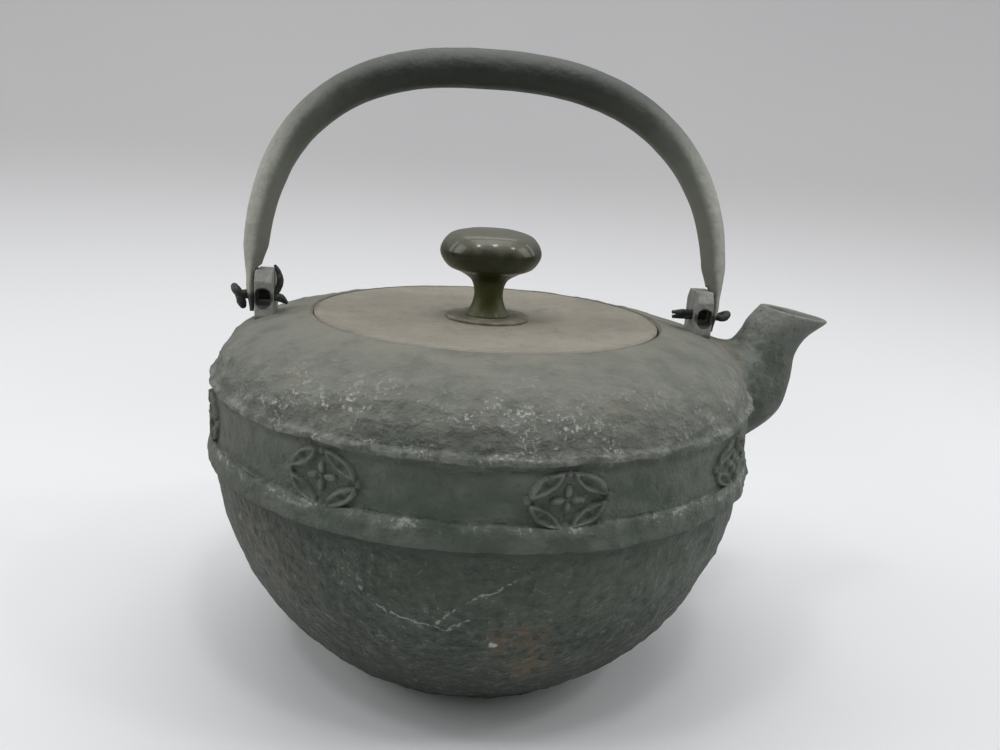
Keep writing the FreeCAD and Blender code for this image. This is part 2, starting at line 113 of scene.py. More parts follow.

# Colours of wear, marks and hollows, with painted shade and painted highlights among them.
RIB_DARK = (0.058, 0.072, 0.056)
# The ribs' pale upper edges are partly wear and partly a painted highlight.
RIB_WORN_AND_LIT = (0.176, 0.195, 0.166)
RIB_BRIGHT = (0.40, 0.41, 0.39)
UPPER_RIB_WORN_AND_LIT = (0.270, 0.282, 0.258)
# Painted shade under the lower and the upper rib.
UNDER_LOWER_RIB_SHADE = (0.030, 0.038, 0.029)
UNDER_UPPER_RIB_SHADE = (0.040, 0.049, 0.040)
BROWNED = (0.098, 0.080, 0.060)
RUST = (0.165, 0.116, 0.062)
PIT = (0.020, 0.026, 0.019)
PIT_RIDGE = (0.145, 0.160, 0.136)
CRUST_HOLLOW = (0.050, 0.061, 0.049)
CRUST_PEAK = (0.265, 0.275, 0.258)
FLECK = (0.50, 0.51, 0.50)
SPECK = (0.30, 0.31, 0.28)
STIPPLE = (0.036, 0.046, 0.035)
SCUFF = (0.25, 0.26, 0.24)
SCRATCH = (0.36, 0.37, 0.35)
CHIPPED = (0.62, 0.63, 0.62)
# Painted shade in the medallions' hollows, and a painted highlight on their worn tops.
CARVED_SHADE = (0.040, 0.050, 0.039)
RUBBED_AND_LIT_TOP = (0.185, 0.204, 0.175)

# Marks on the front of the bowl, as places (way round from the front, height).
RUST_STAIN = ((4 * mm, 44 * mm), (11 * mm, 43 * mm), (14 * mm, 29 * mm))
BROWN_SIDE = ((-72 * mm, 62 * mm), (-66 * mm, 48 * mm))
LONG_SCRATCH = (
    (-37.6 * mm, 59.0 * mm), (-36.4 * mm, 55.8 * mm), (-30.3 * mm, 49.7 * mm), (-17.1 * mm, 47.8 * mm),
    (-8.4 * mm, 55.3 * mm), (5.2 * mm, 62.8 * mm),
)
SHORT_SCRATCH = ((-17.1 * mm, 47.8 * mm), (-14.1 * mm, 46.0 * mm), (-6.6 * mm, 49.6 * mm))
CHIP = ((-0.3 * mm, 41.3 * mm), (0.8 * mm, 40.9 * mm))
RUST_STAIN_WIDTH = 9 * mm
BROWN_SIDE_WIDTH = 20 * mm
SCRATCH_WIDTH = 0.48 * mm
SCRATCH_WANDER = 4 * mm
CHIP_WIDTH = 1.6 * mm

lid_low, lid_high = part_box("lid")
LID_RADIUS = lid_high.x
RIM = lid_high.z
RIM_RADIUS = LID_RADIUS + LID_GAP
LEDGE = RIM - LID_EDGE
SHOULDER_CENTRE = BOWL_RADIUS - SHOULDER_RADIUS


class Wire:
    """A socket in a node tree. Sums on it add Math nodes, vector() Vector Math, node() any other."""

    def __init__(self, tree, socket):
        self.tree = tree
        self.socket = socket

    def node(self, kind, settings=None, inputs=None, out=0):
        made = self.tree.nodes.new(kind)
        for name, value in (settings or {}).items():
            setattr(made, name, value)
        for name, value in (inputs or {}).items():
            if isinstance(value, Wire):
                self.tree.links.new(value.socket, made.inputs[name])
            else:
                made.inputs[name].default_value = value
        return Wire(self.tree, made.outputs[out])

    def math(self, operation, *values):
        return self.node("ShaderNodeMath", {"operation": operation}, dict(enumerate(values)))

    def vector(self, operation, *values, out=0, **named):
        inputs = {**dict(enumerate(values)), **named}
        return self.node("ShaderNodeVectorMath", {"operation": operation}, inputs, out)

    def __add__(self, other):
        return self.math("ADD", self, other)

    def __radd__(self, other):
        return self.math("ADD", other, self)

    def __sub__(self, other):
        return self.math("SUBTRACT", self, other)

    def __rsub__(self, other):
        return self.math("SUBTRACT", other, self)

    def __mul__(self, other):
        return self.math("MULTIPLY", self, other)

    def __rmul__(self, other):
        return self.math("MULTIPLY", other, self)

    def __truediv__(self, other):
        return self.math("DIVIDE", self, other)

    def __rtruediv__(self, other):
        return self.math("DIVIDE", other, self)

    def __pow__(self, other):
        return self.math("POWER", self, other)


def step(value, low, high):
    """Rises smoothly from 0 at low to 1 at high, or falls if low is the larger."""
    ends = {"Value": value, "From Min": low, "From Max": high}
    return value.node("ShaderNodeMapRange", {"interpolation_type": "SMOOTHSTEP"}, ends)


def between(value, low, low_full, high_full, high):
    """Is 1 from low_full to high_full, and falls smoothly to 0 at low and at high."""
    return step(value, low, low_full) * step(value, high, high_full)


def mix(share, low, high):
    """A colour between two others, which are sockets 6 and 7 of a Mix node, with output 2."""
    colours = [c if isinstance(c, Wire) else (*c, 1) for c in (low, high)]
    return share.node("ShaderNodeMix", {"data_type": "RGBA"}, {0: share, 6: colours[0], 7: colours[1]}, 2)


def overlaid(skin, *layers):
    """Lays colours over a skin in turn, each given as (where it lies, how far it covers, colour)."""
    for where, cover, colour in layers:
        skin = mix(where * cover, skin, colour)
    return skin


def part_of(place, axis):
    """One coordinate of a place."""
    return place.node("ShaderNodeSeparateXYZ", None, {0: place}, axis)


def stretched(place, x, y, z):
    """A place with its coordinates multiplied, which squeezes a pattern along them."""
    return place.vector("MULTIPLY", place, (x, y, z))


def from_axis(place):
    """How far a place is from the kettle's upright axis."""
    level = stretched(place, 1, 1, 0)
    return level.vector("LENGTH", level, out="Value")


def clouds(place, size, detail=3.0, roughness=0.55):
    """Soft noise from 0 to 1 whose patches are about size across."""
    inputs = {"Vector": place, "Scale": 1 / size, "Detail": detail, "Roughness": roughness}
    return place.node("ShaderNodeTexNoise", None, inputs)


def marked(place, name):
    """What the vertices of a piece carry under a name, for a finish."""
    return place.node("ShaderNodeAttribute", {"attribute_name": name}, None, "Fac")


def new_finish(name):
    """A new material, and a wire with the piece's own coordinates in metres."""
    material = bpy.data.materials.new(name)
    material.use_nodes = True
    coordinates = material.node_tree.nodes.new("ShaderNodeTexCoord")
    return material, Wire(material.node_tree, coordinates.outputs["Object"])


def lay_finish(material, colour, roughness, height, metallic=0.0, gloss=0.5, polish=None):
    """Feeds a material's shader. The height of its relief is in metres."""
    shader = material.node_tree.nodes["Principled BSDF"]
    bump = height.node("ShaderNodeBump", None, {"Height": height, "Distance": 1.0})
    for name, wire in (("Base Color", colour), ("Roughness", roughness), ("Normal", bump)):
        material.node_tree.links.new(wire.socket, shader.inputs[name])
    if polish:
        material.node_tree.links.new(polish.socket, shader.inputs["Coat Weight"])
    shader.inputs["Metallic"].default_value = metallic
    shader.inputs["Specular IOR Level"].default_value = gloss
    shader.inputs["Coat Roughness"].default_value = COAT_ROUGHNESS


def arc(centre, radius, start, end, spacing=1 * mm):
    """Points of an outline on an arc between two angles in degrees."""
    count = max(2, round(abs(math.radians(end - start)) * radius / spacing))
    turn = np.radians(np.linspace(start, end, count + 1))
    return np.column_stack((centre[0] + radius * np.cos(turn), centre[1] + radius * np.sin(turn)))


def straight(*corners, spacing=1 * mm):
    """Points of an outline along the straight runs between its corners."""
    runs = []
    for a, b in zip(corners, corners[1:]):
        count = max(1, round(math.dist(a, b) / spacing))
        runs.append(np.linspace(a, b, count, endpoint=False))
    return np.vstack(runs + [corners[-1:]])


def outline(*stretches):
    """Joins stretches of an outline and drops the points that two of them share."""
    joined = np.vstack(stretches)
    apart = np.linalg.norm(np.diff(joined, axis=0), axis=1) > SAME_POINT
    return joined[np.append(apart, True)]


def new_piece(name, vertices, faces):
    """A new object with a smoothly shaded mesh."""
    mesh = bpy.data.meshes.new(name)
    mesh.from_pydata([tuple(v) for v in vertices], [], faces)
    mesh.shade_smooth()
    piece = bpy.data.objects.new(name, mesh)
    bpy.context.scene.collection.objects.link(piece)
    return piece


def turned(name, profile, around):
    """A closed piece: an outline of (radius, height) points turned about Z."""
    turn = np.linspace(0, 2 * math.pi, around, endpoint=False)
    circle = np.column_stack((np.cos(turn), np.sin(turn)))
    vertices = []
    rings = []
    for radius, height in profile:
        first = len(vertices)
        if radius < ON_AXIS:
            vertices.append((0, 0, height))
            rings.append([first] * around)
        else:
            vertices.extend((radius * x, radius * y, height) for x, y in circle)
            rings.append(range(first, first + around))
    if len(set(rings[0])) > 1:
        rings.append(rings[0])
    faces = []
    for low, high in zip(rings, rings[1:]):
        for here in range(around):
            there = (here + 1) % around
            faces.append(list(dict.fromkeys((low[here], low[there], high[there], high[here]))))
    return new_piece(name, vertices, faces)


def places(piece):
    """The piece's vertices, one row each."""
    flat = np.empty(len(piece.data.vertices) * 3)
    piece.data.vertices.foreach_get("co", flat)
    return flat.reshape(-1, 3)


def mark(piece, name, values):
    """Gives each vertex a value under a name that node trees can read."""
    layer = piece.data.attributes.new(name, "FLOAT", "POINT")
    layer.data.foreach_set("value", np.asarray(values, np.float32))


def fade(values, low, high):
    """The rise of step, for plain numbers."""
    share = np.clip((values - low) / (high - low), 0, 1)
    return share * share * (3 - 2 * share)


def settle(piece):
    """Turns what the piece's modifiers make into its own plain mesh."""
    graph = bpy.context.evaluated_depsgraph_get()
    mesh = bpy.data.meshes.new_from_object(
        piece.evaluated_get(graph), preserve_all_data_layers=True, depsgraph=graph
    )
    piece.modifiers.clear()
    piece.data = mesh
    return piece


def grow(piece, tree, **sizes):
    """Runs a geometry tree on a piece with its named inputs set, and keeps the mesh."""
    modifier = piece.modifiers.new(tree.name, "NODES")
    modifier.node_group = tree
    for socket in tree.interface.items_tree:
        if socket.in_out == "INPUT" and socket.name in sizes:
            modifier[socket.identifier] = sizes[socket.name]
    return settle(piece)


def new_tree(name, **inputs):
    """A geometry tree with named inputs; returns it and a wire for each input."""
    tree = bpy.data.node_groups.new(name, "GeometryNodeTree")
    tree.interface.new_socket("piece", in_out="OUTPUT", socket_type="NodeSocketGeometry")
    for socket, kind in {"piece": "Geometry", **inputs, "finish": "Material"}.items():
        tree.interface.new_socket(socket, in_out="INPUT", socket_type="NodeSocket" + kind)
    given = tree.nodes.new("NodeGroupInput")
    wires = {o.name: Wire(tree, o) for o in given.outputs if o.name}
    return tree, wires


def end_tree(tree, piece, finish):
    """Closes a geometry tree: instances made real, and the finish laid on."""
    real = piece.node("GeometryNodeRealizeInstances", None, {"Geometry": piece})
    laid = real.node("GeometryNodeSetMaterial", None, {"Geometry": real, "Material": finish})
    tree.links.new(laid.socket, tree.nodes.new("NodeGroupOutput").inputs[0])


def named(start, name):
    """What the vertices of a piece carry under a name, for a geometry tree."""
    return start.node("GeometryNodeInputNamedAttribute", {"data_type": "FLOAT"}, {"Name": name})


def cast_skin_tree():
    """Lumps, a finer grain and a folded crust on a casting's surface, and a sway of its edges."""
    tree, given = new_tree(
        "cast_skin", lump="Float", lump_height="Float", grain="Float", grain_height="Float",
        crust="Float", crust_height="Float", sway="Float", sway_reach="Float", seed="Float",
    )
    start = given["piece"]
    place = start.node("GeometryNodeInputPosition")
    normal = start.node("GeometryNodeInputNormal")
    skin = named(start, "skin")

    def waves(at, size, out=0):
        field = {"Vector": at, "W": given["seed"], "Scale": 1 / size, "Detail": 2.0}
        return start.node("ShaderNodeTexNoise", {"noise_dimensions": "4D"}, field, out)

    lumps = (waves(place, given["lump"]) - 0.5) * given["lump_height"]
    grain = (waves(place, given["grain"]) - 0.5) * given["grain_height"]
    folds = (waves(stretched(place, 0.6, 0.6, 1.5), given["crust"]) - 0.5) * given["crust_height"]
    rise = (lumps + grain) * skin + folds * named(start, "crusty")
    raised = start.vector("SCALE", normal, Scale=rise)
    sway = start.vector("SUBTRACT", waves(place, given["sway"], "Color"), (0.5, 0.5, 0.5))
    swayed = start.vector("SCALE", sway, Scale=given["sway_reach"] * skin)
    offset = start.vector("ADD", raised, swayed)
    moved = start.node("GeometryNodeSetPosition", None, {"Geometry": start, "Offset": offset})
    end_tree(tree, moved, given["finish"])
    return tree


def vessel_outline():
    """From the middle of the base up the outside, over the rim, and down the inside."""
    slope_turn = 90 - SHOULDER_SLOPE
    foot_r = math.sqrt((BOWL_RADIUS - FOOT_ROUND) ** 2 - (BOWL_CENTRE - FOOT_ROUND) ** 2)
    foot_turn = math.degrees(math.atan2(FOOT_ROUND - BOWL_CENTRE, foot_r))
    rib_turn = math.degrees(math.asin((LOWER_RIB_LOW - BOWL_CENTRE) / BOWL_RADIUS))
    face = BOWL_RADIUS + LOWER_RIB_OUT
    upper_turn = math.degrees(math.acos(UPPER_RIB_SUNK / UPPER_RIB_ROUND))
    upper_top = UPPER_RIB + UPPER_RIB_ROUND * math.sin(math.radians(upper_turn))
    shoulder_turn = math.degrees(math.asin((upper_top - SHOULDER_START) / SHOULDER_RADIUS))
    fine = 0.3 * mm
    outside = outline(
        straight((0, 0), (foot_r, 0), spacing=6 * mm),
        arc((foot_r, FOOT_ROUND), FOOT_ROUND, -90, foot_turn, spacing=0.5 * mm),
        arc((0, BOWL_CENTRE), BOWL_RADIUS, foot_turn, rib_turn, spacing=1.2 * mm),
        arc((face - RIB_EDGE, LOWER_RIB_LOW + RIB_EDGE), RIB_EDGE, -90, 0, fine),
        straight((face, LOWER_RIB_LOW + RIB_EDGE), (face - LOWER_RIB_TAPER, LOWER_RIB_HIGH - RIB_EDGE)),
        arc((face - LOWER_RIB_TAPER - RIB_EDGE, LOWER_RIB_HIGH - RIB_EDGE), RIB_EDGE, 0, 90, fine),
        arc((BOWL_RADIUS + RIB_EDGE, LOWER_RIB_HIGH + RIB_EDGE), RIB_EDGE, 270, 180, fine),
        straight((BOWL_RADIUS, LOWER_RIB_HIGH + RIB_EDGE), (BOWL_RADIUS, UPPER_RIB - 2 * UPPER_RIB_ROUND)),
        arc((BOWL_RADIUS - UPPER_RIB_SUNK, UPPER_RIB), UPPER_RIB_ROUND, -upper_turn, upper_turn, fine),
        arc((SHOULDER_CENTRE, SHOULDER_START), SHOULDER_RADIUS, shoulder_turn + PAST_RIB, slope_turn),
        straight(shoulder_point(SHOULDER_RADIUS), (RIM_RADIUS + RIB_EDGE, RIM - RIM_DROP)),
    )
    inside = outline(
        arc((RIM_RADIUS + RIB_EDGE, RIM - 2 * RIB_EDGE), RIB_EDGE, slope_turn, 180, fine),
        straight((RIM_RADIUS, RIM - 2 * RIB_EDGE), (RIM_RADIUS, LEDGE), (MOUTH_RADIUS, LEDGE)),
        straight((MOUTH_RADIUS, LEDGE), (MOUTH_RADIUS, LEDGE - LEDGE_DEPTH)),
        straight((MOUTH_RADIUS, LEDGE - LEDGE_DEPTH), (RIM_RADIUS + LEDGE_BACK, LEDGE - LEDGE_DEPTH)),
        arc((SHOULDER_CENTRE, SHOULDER_START), SHOULDER_RADIUS - WALL, slope_turn, 0, spacing=5 * mm),
        arc((0, BOWL_CENTRE), BOWL_RADIUS - WALL, 0, floor_turn(), spacing=7 * mm),
        straight((floor_radius(), FLOOR), (0, FLOOR), spacing=8 * mm),
    )
    return outside, inside


def shoulder_point(radius):
    """Where the turn of the shoulder runs into its slope, on an arc of the given radius."""
    turn = math.radians(90 - SHOULDER_SLOPE)
    return SHOULDER_CENTRE + radius * math.cos(turn), SHOULDER_START + radius * math.sin(turn)


def floor_radius():
    """Where the inside of the bowl meets the floor of the vessel."""
    return math.sqrt((BOWL_RADIUS - WALL) ** 2 - (BOWL_CENTRE - FLOOR) ** 2)


def floor_turn():
    """The angle of that place, in degrees from level, as seen from the bowl's centre."""
    return math.degrees(math.atan2(FLOOR - BOWL_CENTRE, floor_radius()))


def skin_depth(at):
    """How rough the casting is: most on the turn of the shoulder, least at the mouth and the spout."""
    x, y, z = at.T
    near_mouth = (z > 103 * mm) * (1 - fade(np.hypot(x, y), RIM_RADIUS, RIM_RADIUS + 9 * mm))
    near_spout = fade(x, 44 * mm, 74 * mm) * fade(z, 94 * mm, 98 * mm)
    turn = fade(z, 91 * mm, 95 * mm) * (1 - fade(z, 104 * mm, 111 * mm))
    calm = (1 - 0.85 * near_mouth) * (1 - 0.5 * near_spout)
    return (0.55 + 0.25 * turn) * calm * fade(z, 0.2 * mm, 5 * mm)


def crust_depth(at):
    """Where the turn of the shoulder is crusted: all round, but little near the spout."""
    x, _, z = at.T
    turn = fade(z, 95.5 * mm, 99 * mm) * (1 - fade(z, 103 * mm, 110 * mm))
    return turn * (1 - 0.7 * fade(x, 36 * mm, 66 * mm))


def line_marks(surface, width, *points):
    """A soft line from point to point of the surface, each given as (way round, height)."""
    mask = None
    for a, b in zip(points, points[1:]):
        run = (b[0] - a[0], b[1] - a[1], 0)
        length = math.hypot(*run)
        ahead = (run[0] / length**2, run[1] / length**2, 0)
        from_a = surface.vector("SUBTRACT", surface, (*a, 0))
        share = from_a.vector("DOT_PRODUCT", from_a, ahead, out="Value")
        held = share.node("ShaderNodeClamp", None, {"Value": share})
        foot = held.vector("SCALE", run, Scale=held)
        distance = foot.vector("DISTANCE", from_a, foot, out="Value")
        near = step(distance, width, width * 0.3)
        mask = near if mask is None else near.math("MAXIMUM", mask, near)
    return mask


def vessel_ground(place):
    """The noises that the vessel's finish is made of, and masks of where each kind of skin lies."""
    on = SimpleNamespace()
    on.patches = clouds(place, 30 * mm, 4, 0.55)
    on.smears = clouds(stretched(place, 1, 1, 1.5), 9 * mm, 5, 0.6)
    on.crust = clouds(stretched(place, 1, 1, 1.3), 5 * mm, 4, 0.55)
    on.grit = clouds(place, 2.6 * mm, 4, 0.6)
    on.fine = clouds(place, 1.2 * mm, 4, 0.6)
    on.cloudy = on.patches * 0.45 + on.smears * 0.55

    drift = (clouds(place, 18 * mm, 4, 0.6) - 0.5) * 14 * mm
    on.height = part_of(place, "Z")
    on.wavy_height = on.height + drift
    on.to_spout = part_of(place, "X") + drift
    way_round = place.math("ARCTAN2", part_of(place, "X"), 0 - part_of(place, "Y")) * BOWL_RADIUS
    on.surface = place.node("ShaderNodeCombineXYZ", None, {"X": way_round, "Y": on.height})

    on.dusty = step(on.wavy_height, 82 * mm, 110.5 * mm)
    on.crusted = step(on.height + drift * 0.5, 92 * mm, 97 * mm) * step(on.wavy_height, 113 * mm, 101 * mm)
    on.scaled = on.crusted * (0.45 + 0.55 * step(on.to_spout, 46 * mm, 8 * mm))
    on.bowl = step(on.height, 73 * mm, 67 * mm)
    on.rear = step(on.to_spout, -12 * mm, -40 * mm)
    low = step(on.wavy_height, 62 * mm, 40 * mm)
    on.coarse = low.math("MAXIMUM", low, on.rear) * on.bowl
    on.lower_rib = between(
        on.height, LOWER_RIB_LOW - 0.5 * mm, LOWER_RIB_LOW + 0.5 * mm,
        LOWER_RIB_HIGH - 0.2 * mm, LOWER_RIB_HIGH + 0.8 * mm,
    )
    on.upper_rib = between(
        on.height, UPPER_RIB - 2 * mm, UPPER_RIB - 0.5 * mm, UPPER_RIB + 0.8 * mm, UPPER_RIB + 2.5 * mm
    )
    return on


def bare_skin(place, on):
    """Grey green iron under the shoulder's dust, darker below the ribs and to the bottom, with painted
    shade opposite the spout.
    """
    iron = mix(step(on.cloudy, 0.38, 0.62), IRON_DARK, IRON_PALE)
    pot = mix(step(on.patches * 0.5 + on.grit * 0.5, 0.38, 0.60), POT_DARK, POT_PALE)
    # Darker towards the bottom.
    towards_bottom = step(on.wavy_height, 60 * mm, 14 * mm)
    # Painted shade on the side away from the spout.
    pot = overlaid(pot, (on.rear, 0.25, POT_REAR_SHADE), (towards_bottom, 0.76, POT_BOTTOM))
    rear_side = step(on.to_spout, -42 * mm, -78 * mm)
    skin = overlaid(mix(on.bowl, iron, pot), (rear_side, 0.35, IRON_REAR))

    warm = step(clouds(place, 14 * mm, 4), 0.50, 0.66)
    rimward = step(from_axis(place), RIM_RADIUS + 15 * mm, RIM_RADIUS + 2 * mm)
    dust = overlaid(
        mix(step(on.smears, 0.32, 0.68), DUST_DARK, DUST_PALE),
        (warm, 0.25, DUST_WARM),
        (rimward, 0.5, DUST_BY_LID),
        (step(on.patches, 0.48, 0.36), 0.35, DUST_THIN),
        (step(on.smears, 0.47, 0.36), 0.3, DUST_WIPED),
    )
    return mix(on.dusty, skin, dust)


def worn_ribs(on, skin):
    """The two ribs, patchy, and pale along their upper edges, partly worn and partly a painted highlight.
    """
    top = step(on.height, LOWER_RIB_HIGH - 3.2 * mm, LOWER_RIB_HIGH - 0.8 * mm) * on.lower_rib
    return overlaid(
        skin,
        (on.lower_rib * step(on.smears, 0.54, 0.42), 0.5, RIB_DARK),
        # Pale upper edges: partly wear and partly a painted highlight.
        (top * step(on.cloudy, 0.36, 0.58), 0.65, RIB_WORN_AND_LIT),
        (top * step(on.fine * 0.4 + on.smears * 0.6, 0.53, 0.60), 0.7, RIB_BRIGHT),
        (on.upper_rib * step(on.grit * 0.5 + on.smears * 0.5, 0.44, 0.58), 0.6, UPPER_RIB_WORN_AND_LIT),
    )


def weathered(place, on, skin):
    """Rust, pits, crust with pale flecks, scuffs, and painted shade under the ribs."""
    browned = line_marks(on.surface, BROWN_SIDE_WIDTH, *BROWN_SIDE) * step(on.grit, 0.40, 0.6)
    stained = line_marks(on.surface, RUST_STAIN_WIDTH, *RUST_STAIN)
    stained = stained * step(clouds(place, 4 * mm, 5, 0.65), 0.40, 0.60)
    scaly = step(clouds(stretched(place, 1, 1, 1.5), 12 * mm, 3), 0.46, 0.59) * on.scaled
    scaly = scaly * (0.35 + 0.65 * step(on.to_spout, -72 * mm, -48 * mm))
    specks = step(on.fine, 0.60, 0.68) * on.bowl * step(clouds(place, 15 * mm, 3), 0.46, 0.60)
    band = between(on.height, LOWER_RIB_HIGH, LOWER_RIB_HIGH + 1.5 * mm, UPPER_RIB - 2 * mm, UPPER_RIB)
    bent = clouds(place, 13 * mm, 2) - 0.5
    scuffs = step(bent.math("ABSOLUTE", bent), 0.010, 0.003) * step(on.grit, 0.46, 0.60) * on.bowl
    # Painted shade in a band just under each rib.
    shade_under_lower = between(
        on.height, LOWER_RIB_LOW - 6 * mm, LOWER_RIB_LOW - 0.4 * mm, LOWER_RIB_LOW, LOWER_RIB_LOW + 0.5 * mm
    )
    shade_under_upper = between(
        on.height, UPPER_RIB - 4.5 * mm, UPPER_RIB - 1.6 * mm, UPPER_RIB - 1.2 * mm, UPPER_RIB - 0.6 * mm
    )
    return overlaid(
        skin,
        (browned, 0.35, BROWNED),
        (stained, 0.6, RUST),
        (step(on.grit, 0.45, 0.33) * on.coarse, 0.6, PIT),
        (step(on.grit, 0.56, 0.68) * on.coarse, 0.4, PIT_RIDGE),
        (step(on.crust, 0.44, 0.32) * on.crusted, 0.22, CRUST_HOLLOW),
        (step(on.crust, 0.52, 0.66) * on.crusted, 0.45, CRUST_PEAK),
        (step(on.fine, 0.53, 0.63) * scaly, 0.9, FLECK),
        (specks, 0.5, SPECK),
        (step(on.grit, 0.42, 0.32) * step(on.patches, 0.42, 0.58) * band, 0.45, STIPPLE),
        (scuffs, 0.4, SCUFF),
        (shade_under_lower, 0.7, UNDER_LOWER_RIB_SHADE),
        (shade_under_upper * step(on.smears, 0.40, 0.58), 0.6, UNDER_UPPER_RIB_SHADE),
    )


def scratched(place, on, skin):
    """The forked scratch on the front of the bowl, wandering and broken, and a bright chip."""
    noise = {"Vector": place, "Scale": 1 / SCRATCH_WANDER}
    wander = place.node("ShaderNodeTexNoise", None, noise, "Color")
    wander = place.vector("SUBTRACT", wander, (0.5, 0.5, 0.5))
    wander = place.vector("SCALE", wander, Scale=SCRATCH_WANDER)
    uneven = stretched(place.vector("ADD", on.surface, wander), 1, 1, 0)
    scored = line_marks(uneven, SCRATCH_WIDTH, *LONG_SCRATCH)
    scored = scored.math("MAXIMUM", scored, line_marks(uneven, SCRATCH_WIDTH, *SHORT_SCRATCH))
    broken = step(clouds(place, 1.5 * mm, 3), 0.44, 0.54)
    chip = line_marks(uneven, CHIP_WIDTH, *CHIP)
    return overlaid(skin, (scored * broken, 0.7, SCRATCH), (chip, 0.8, CHIPPED))


def vessel_finish():
    """Grey green iron: pitted below, crusted with pale scale on the turn, dusty on top."""
    material, place = new_finish("sand_cast_vessel")
    on = vessel_ground(place)
    skin = worn_ribs(on, bare_skin(place, on))
    skin = scratched(place, on, weathered(place, on, skin))
    # The medallions' hollows take painted shade, and their worn tops a painted highlight.
    skin = overlaid(
        skin,
        (marked(place, "carved"), 0.25, CARVED_SHADE),
        (marked(place, "rubbed_and_lit") * step(on.smears, 0.34, 0.60), 0.6, RUBBED_AND_LIT_TOP),
    )
    lining = mix(step(on.smears, 0.35, 0.65), LINING_DARK, LINING_PALE)
    skin = mix(marked(place, "inside"), skin, lining)

    calm = 1 - 0.45 * on.dusty
    folds = clouds(stretched(place, 0.45, 0.45, 1.6), 6 * mm, 3, 0.5)
    relief = folds * on.crusted * 1.2 * mm + on.crust * on.scaled * 1.6 * mm
    relief = relief + on.grit * (0.5 + 0.2 * on.bowl + 0.8 * on.coarse) * calm * 1.8 * mm
    relief = relief + on.smears * (1 - on.bowl) * calm * 2.4 * mm
    relief = relief + on.fine * (0.16 + 0.35 * on.crusted) * mm
    shine = 0.60 + 0.22 * on.dusty + 0.2 * (on.smears - 0.5)
    lay_finish(material, skin, shine, relief, gloss=0.4)
    return material


outside, inside = vessel_outline()
vessel = turned("kettle_vessel", np.vstack((outside, inside)), VESSEL_AROUND)
mark(vessel, "skin", skin_depth(places(vessel)))
mark(vessel, "crusty", crust_depth(places(vessel)))
# The outline starts on the axis, with one vertex in place of a ring.
inside_from = 1 + (len(outside) - 1 + RIM_RINGS) * VESSEL_AROUND
mark(vessel, "inside", np.arange(len(vessel.data.vertices)) >= inside_from)
cast_skin = cast_skin_tree()
vessel_iron = vessel_finish()


# Spout: a short fat beak with a flared mouth, open into the vessel.
# It is cast iron like the vessel, run on to it with a soft fillet above and a crisp step below.

# Each station is (out from the bowl's radius, up from its centre, lean of the section from level
# in degrees, half length, half width), with lengths in millimetres.
SPOUT_STATIONS = (
    (-9.6, 13.0, 56.0, 18.6, 15.0),
    (4.1, 23.0, 37.3, 16.4, 14.2),
    (8.2, 27.5, 31.0, 12.6, 11.4),
    (10.4, 34.5, 20.0, 10.1, 9.8),
    (12.5, 38.8, 15.2, 10.3, 9.7),
    (18.0, 44.2, 10.0, 11.8, 10.8),
)
SPOUT_WALL = 2.6 * mm
SPOUT_LIP = 1.9 * mm
SPOUT_BURIED = 1.2 * mm
SPOUT_FILLET_ABOVE = 6.0 * mm
SPOUT_FILLET_BELOW = 1.2 * mm
SPOUT_LIP_RISE = 0.4
SPOUT_LIP_BENDS = (40, 75, 110, 145)
SPOUT_AROUND = 96
SPOUT_ROWS = 70
SPOUT_ROOT_STEPS = 400
SPOUT_BORE_ROWS = 40
BEAK = 0.22
MERGE_WITHIN = 0.005 * mm

SPOUT_DARK = (0.072, 0.090, 0.070)
SPOUT_PALE = (0.172, 0.187, 0.162)
SPOUT_FILM = (0.285, 0.296, 0.264)
SPOUT_WARM = (0.215, 0.182, 0.134)
# Painted shade on the spout's outer side below the mouth.
SPOUT_SHADE = (0.050, 0.066, 0.050)
SPOUT_PIT = (0.03, 0.035, 0.03)


def through(rows, places_along):
    """Values on a smooth curve through rows, whose first two columns are places in a plane."""
    rows = np.array(rows, float)
    along = np.append(0, np.cumsum(np.linalg.norm(np.diff(rows[:, :2], axis=0), axis=1)))
    along /= along[-1]
    slope = np.gradient(rows, along, axis=0)
    first = np.clip(np.searchsorted(along, places_along) - 1, 0, len(rows) - 2)
    gap = (along[first + 1] - along[first])[..., None]
    u = (places_along - along[first])[..., None] / gap
    start = rows[first] * (1 + 2 * u) * (1 - u) ** 2 + slope[first] * gap * u * (1 - u) ** 2
    end = rows[first + 1] * u**2 * (3 - 2 * u) + slope[first + 1] * gap * u**2 * (u - 1)
    return start + end


def spout_points(along, turn, inset):
    """Points of the spout's wall and its outward directions there."""
    values = through(SPOUT_STATIONS, along)
    out, up, lean, half_length, half_width = np.moveaxis(values, -1, 0)
    lean = np.radians(lean)
    beak = 1 - BEAK * along**4 * np.clip(np.cos(turn), 0, 1) ** 2
    length = half_length * mm - inset
    width = (half_width * mm - inset) * beak
    across = np.cos(turn) * length
    x = BOWL_RADIUS + out * mm + across * np.cos(lean)
    z = BOWL_CENTRE + up * mm - across * np.sin(lean)
    facing = np.stack((np.cos(turn) * np.cos(lean), np.sin(turn), -np.cos(turn) * np.sin(lean)), -1)
    return np.stack((x, np.sin(turn) * width, z), -1), facing


def above_vessel(points):
    """How far points are outside the vessel's surface round the shoulder, and which way is out."""
    radius = np.hypot(points[..., 0], points[..., 1])
    rise = np.clip(points[..., 2] - SHOULDER_START, 0, None)
    from_centre = np.hypot(radius - SHOULDER_CENTRE, rise)
    outward = np.stack(
        (
            points[..., 0] / radius * (radius - SHOULDER_CENTRE) / from_centre,
            points[..., 1] / radius * (radius - SHOULDER_CENTRE) / from_centre,
            rise / from_centre,
        ),
        -1,
    )
    return from_centre - SHOULDER_RADIUS, outward


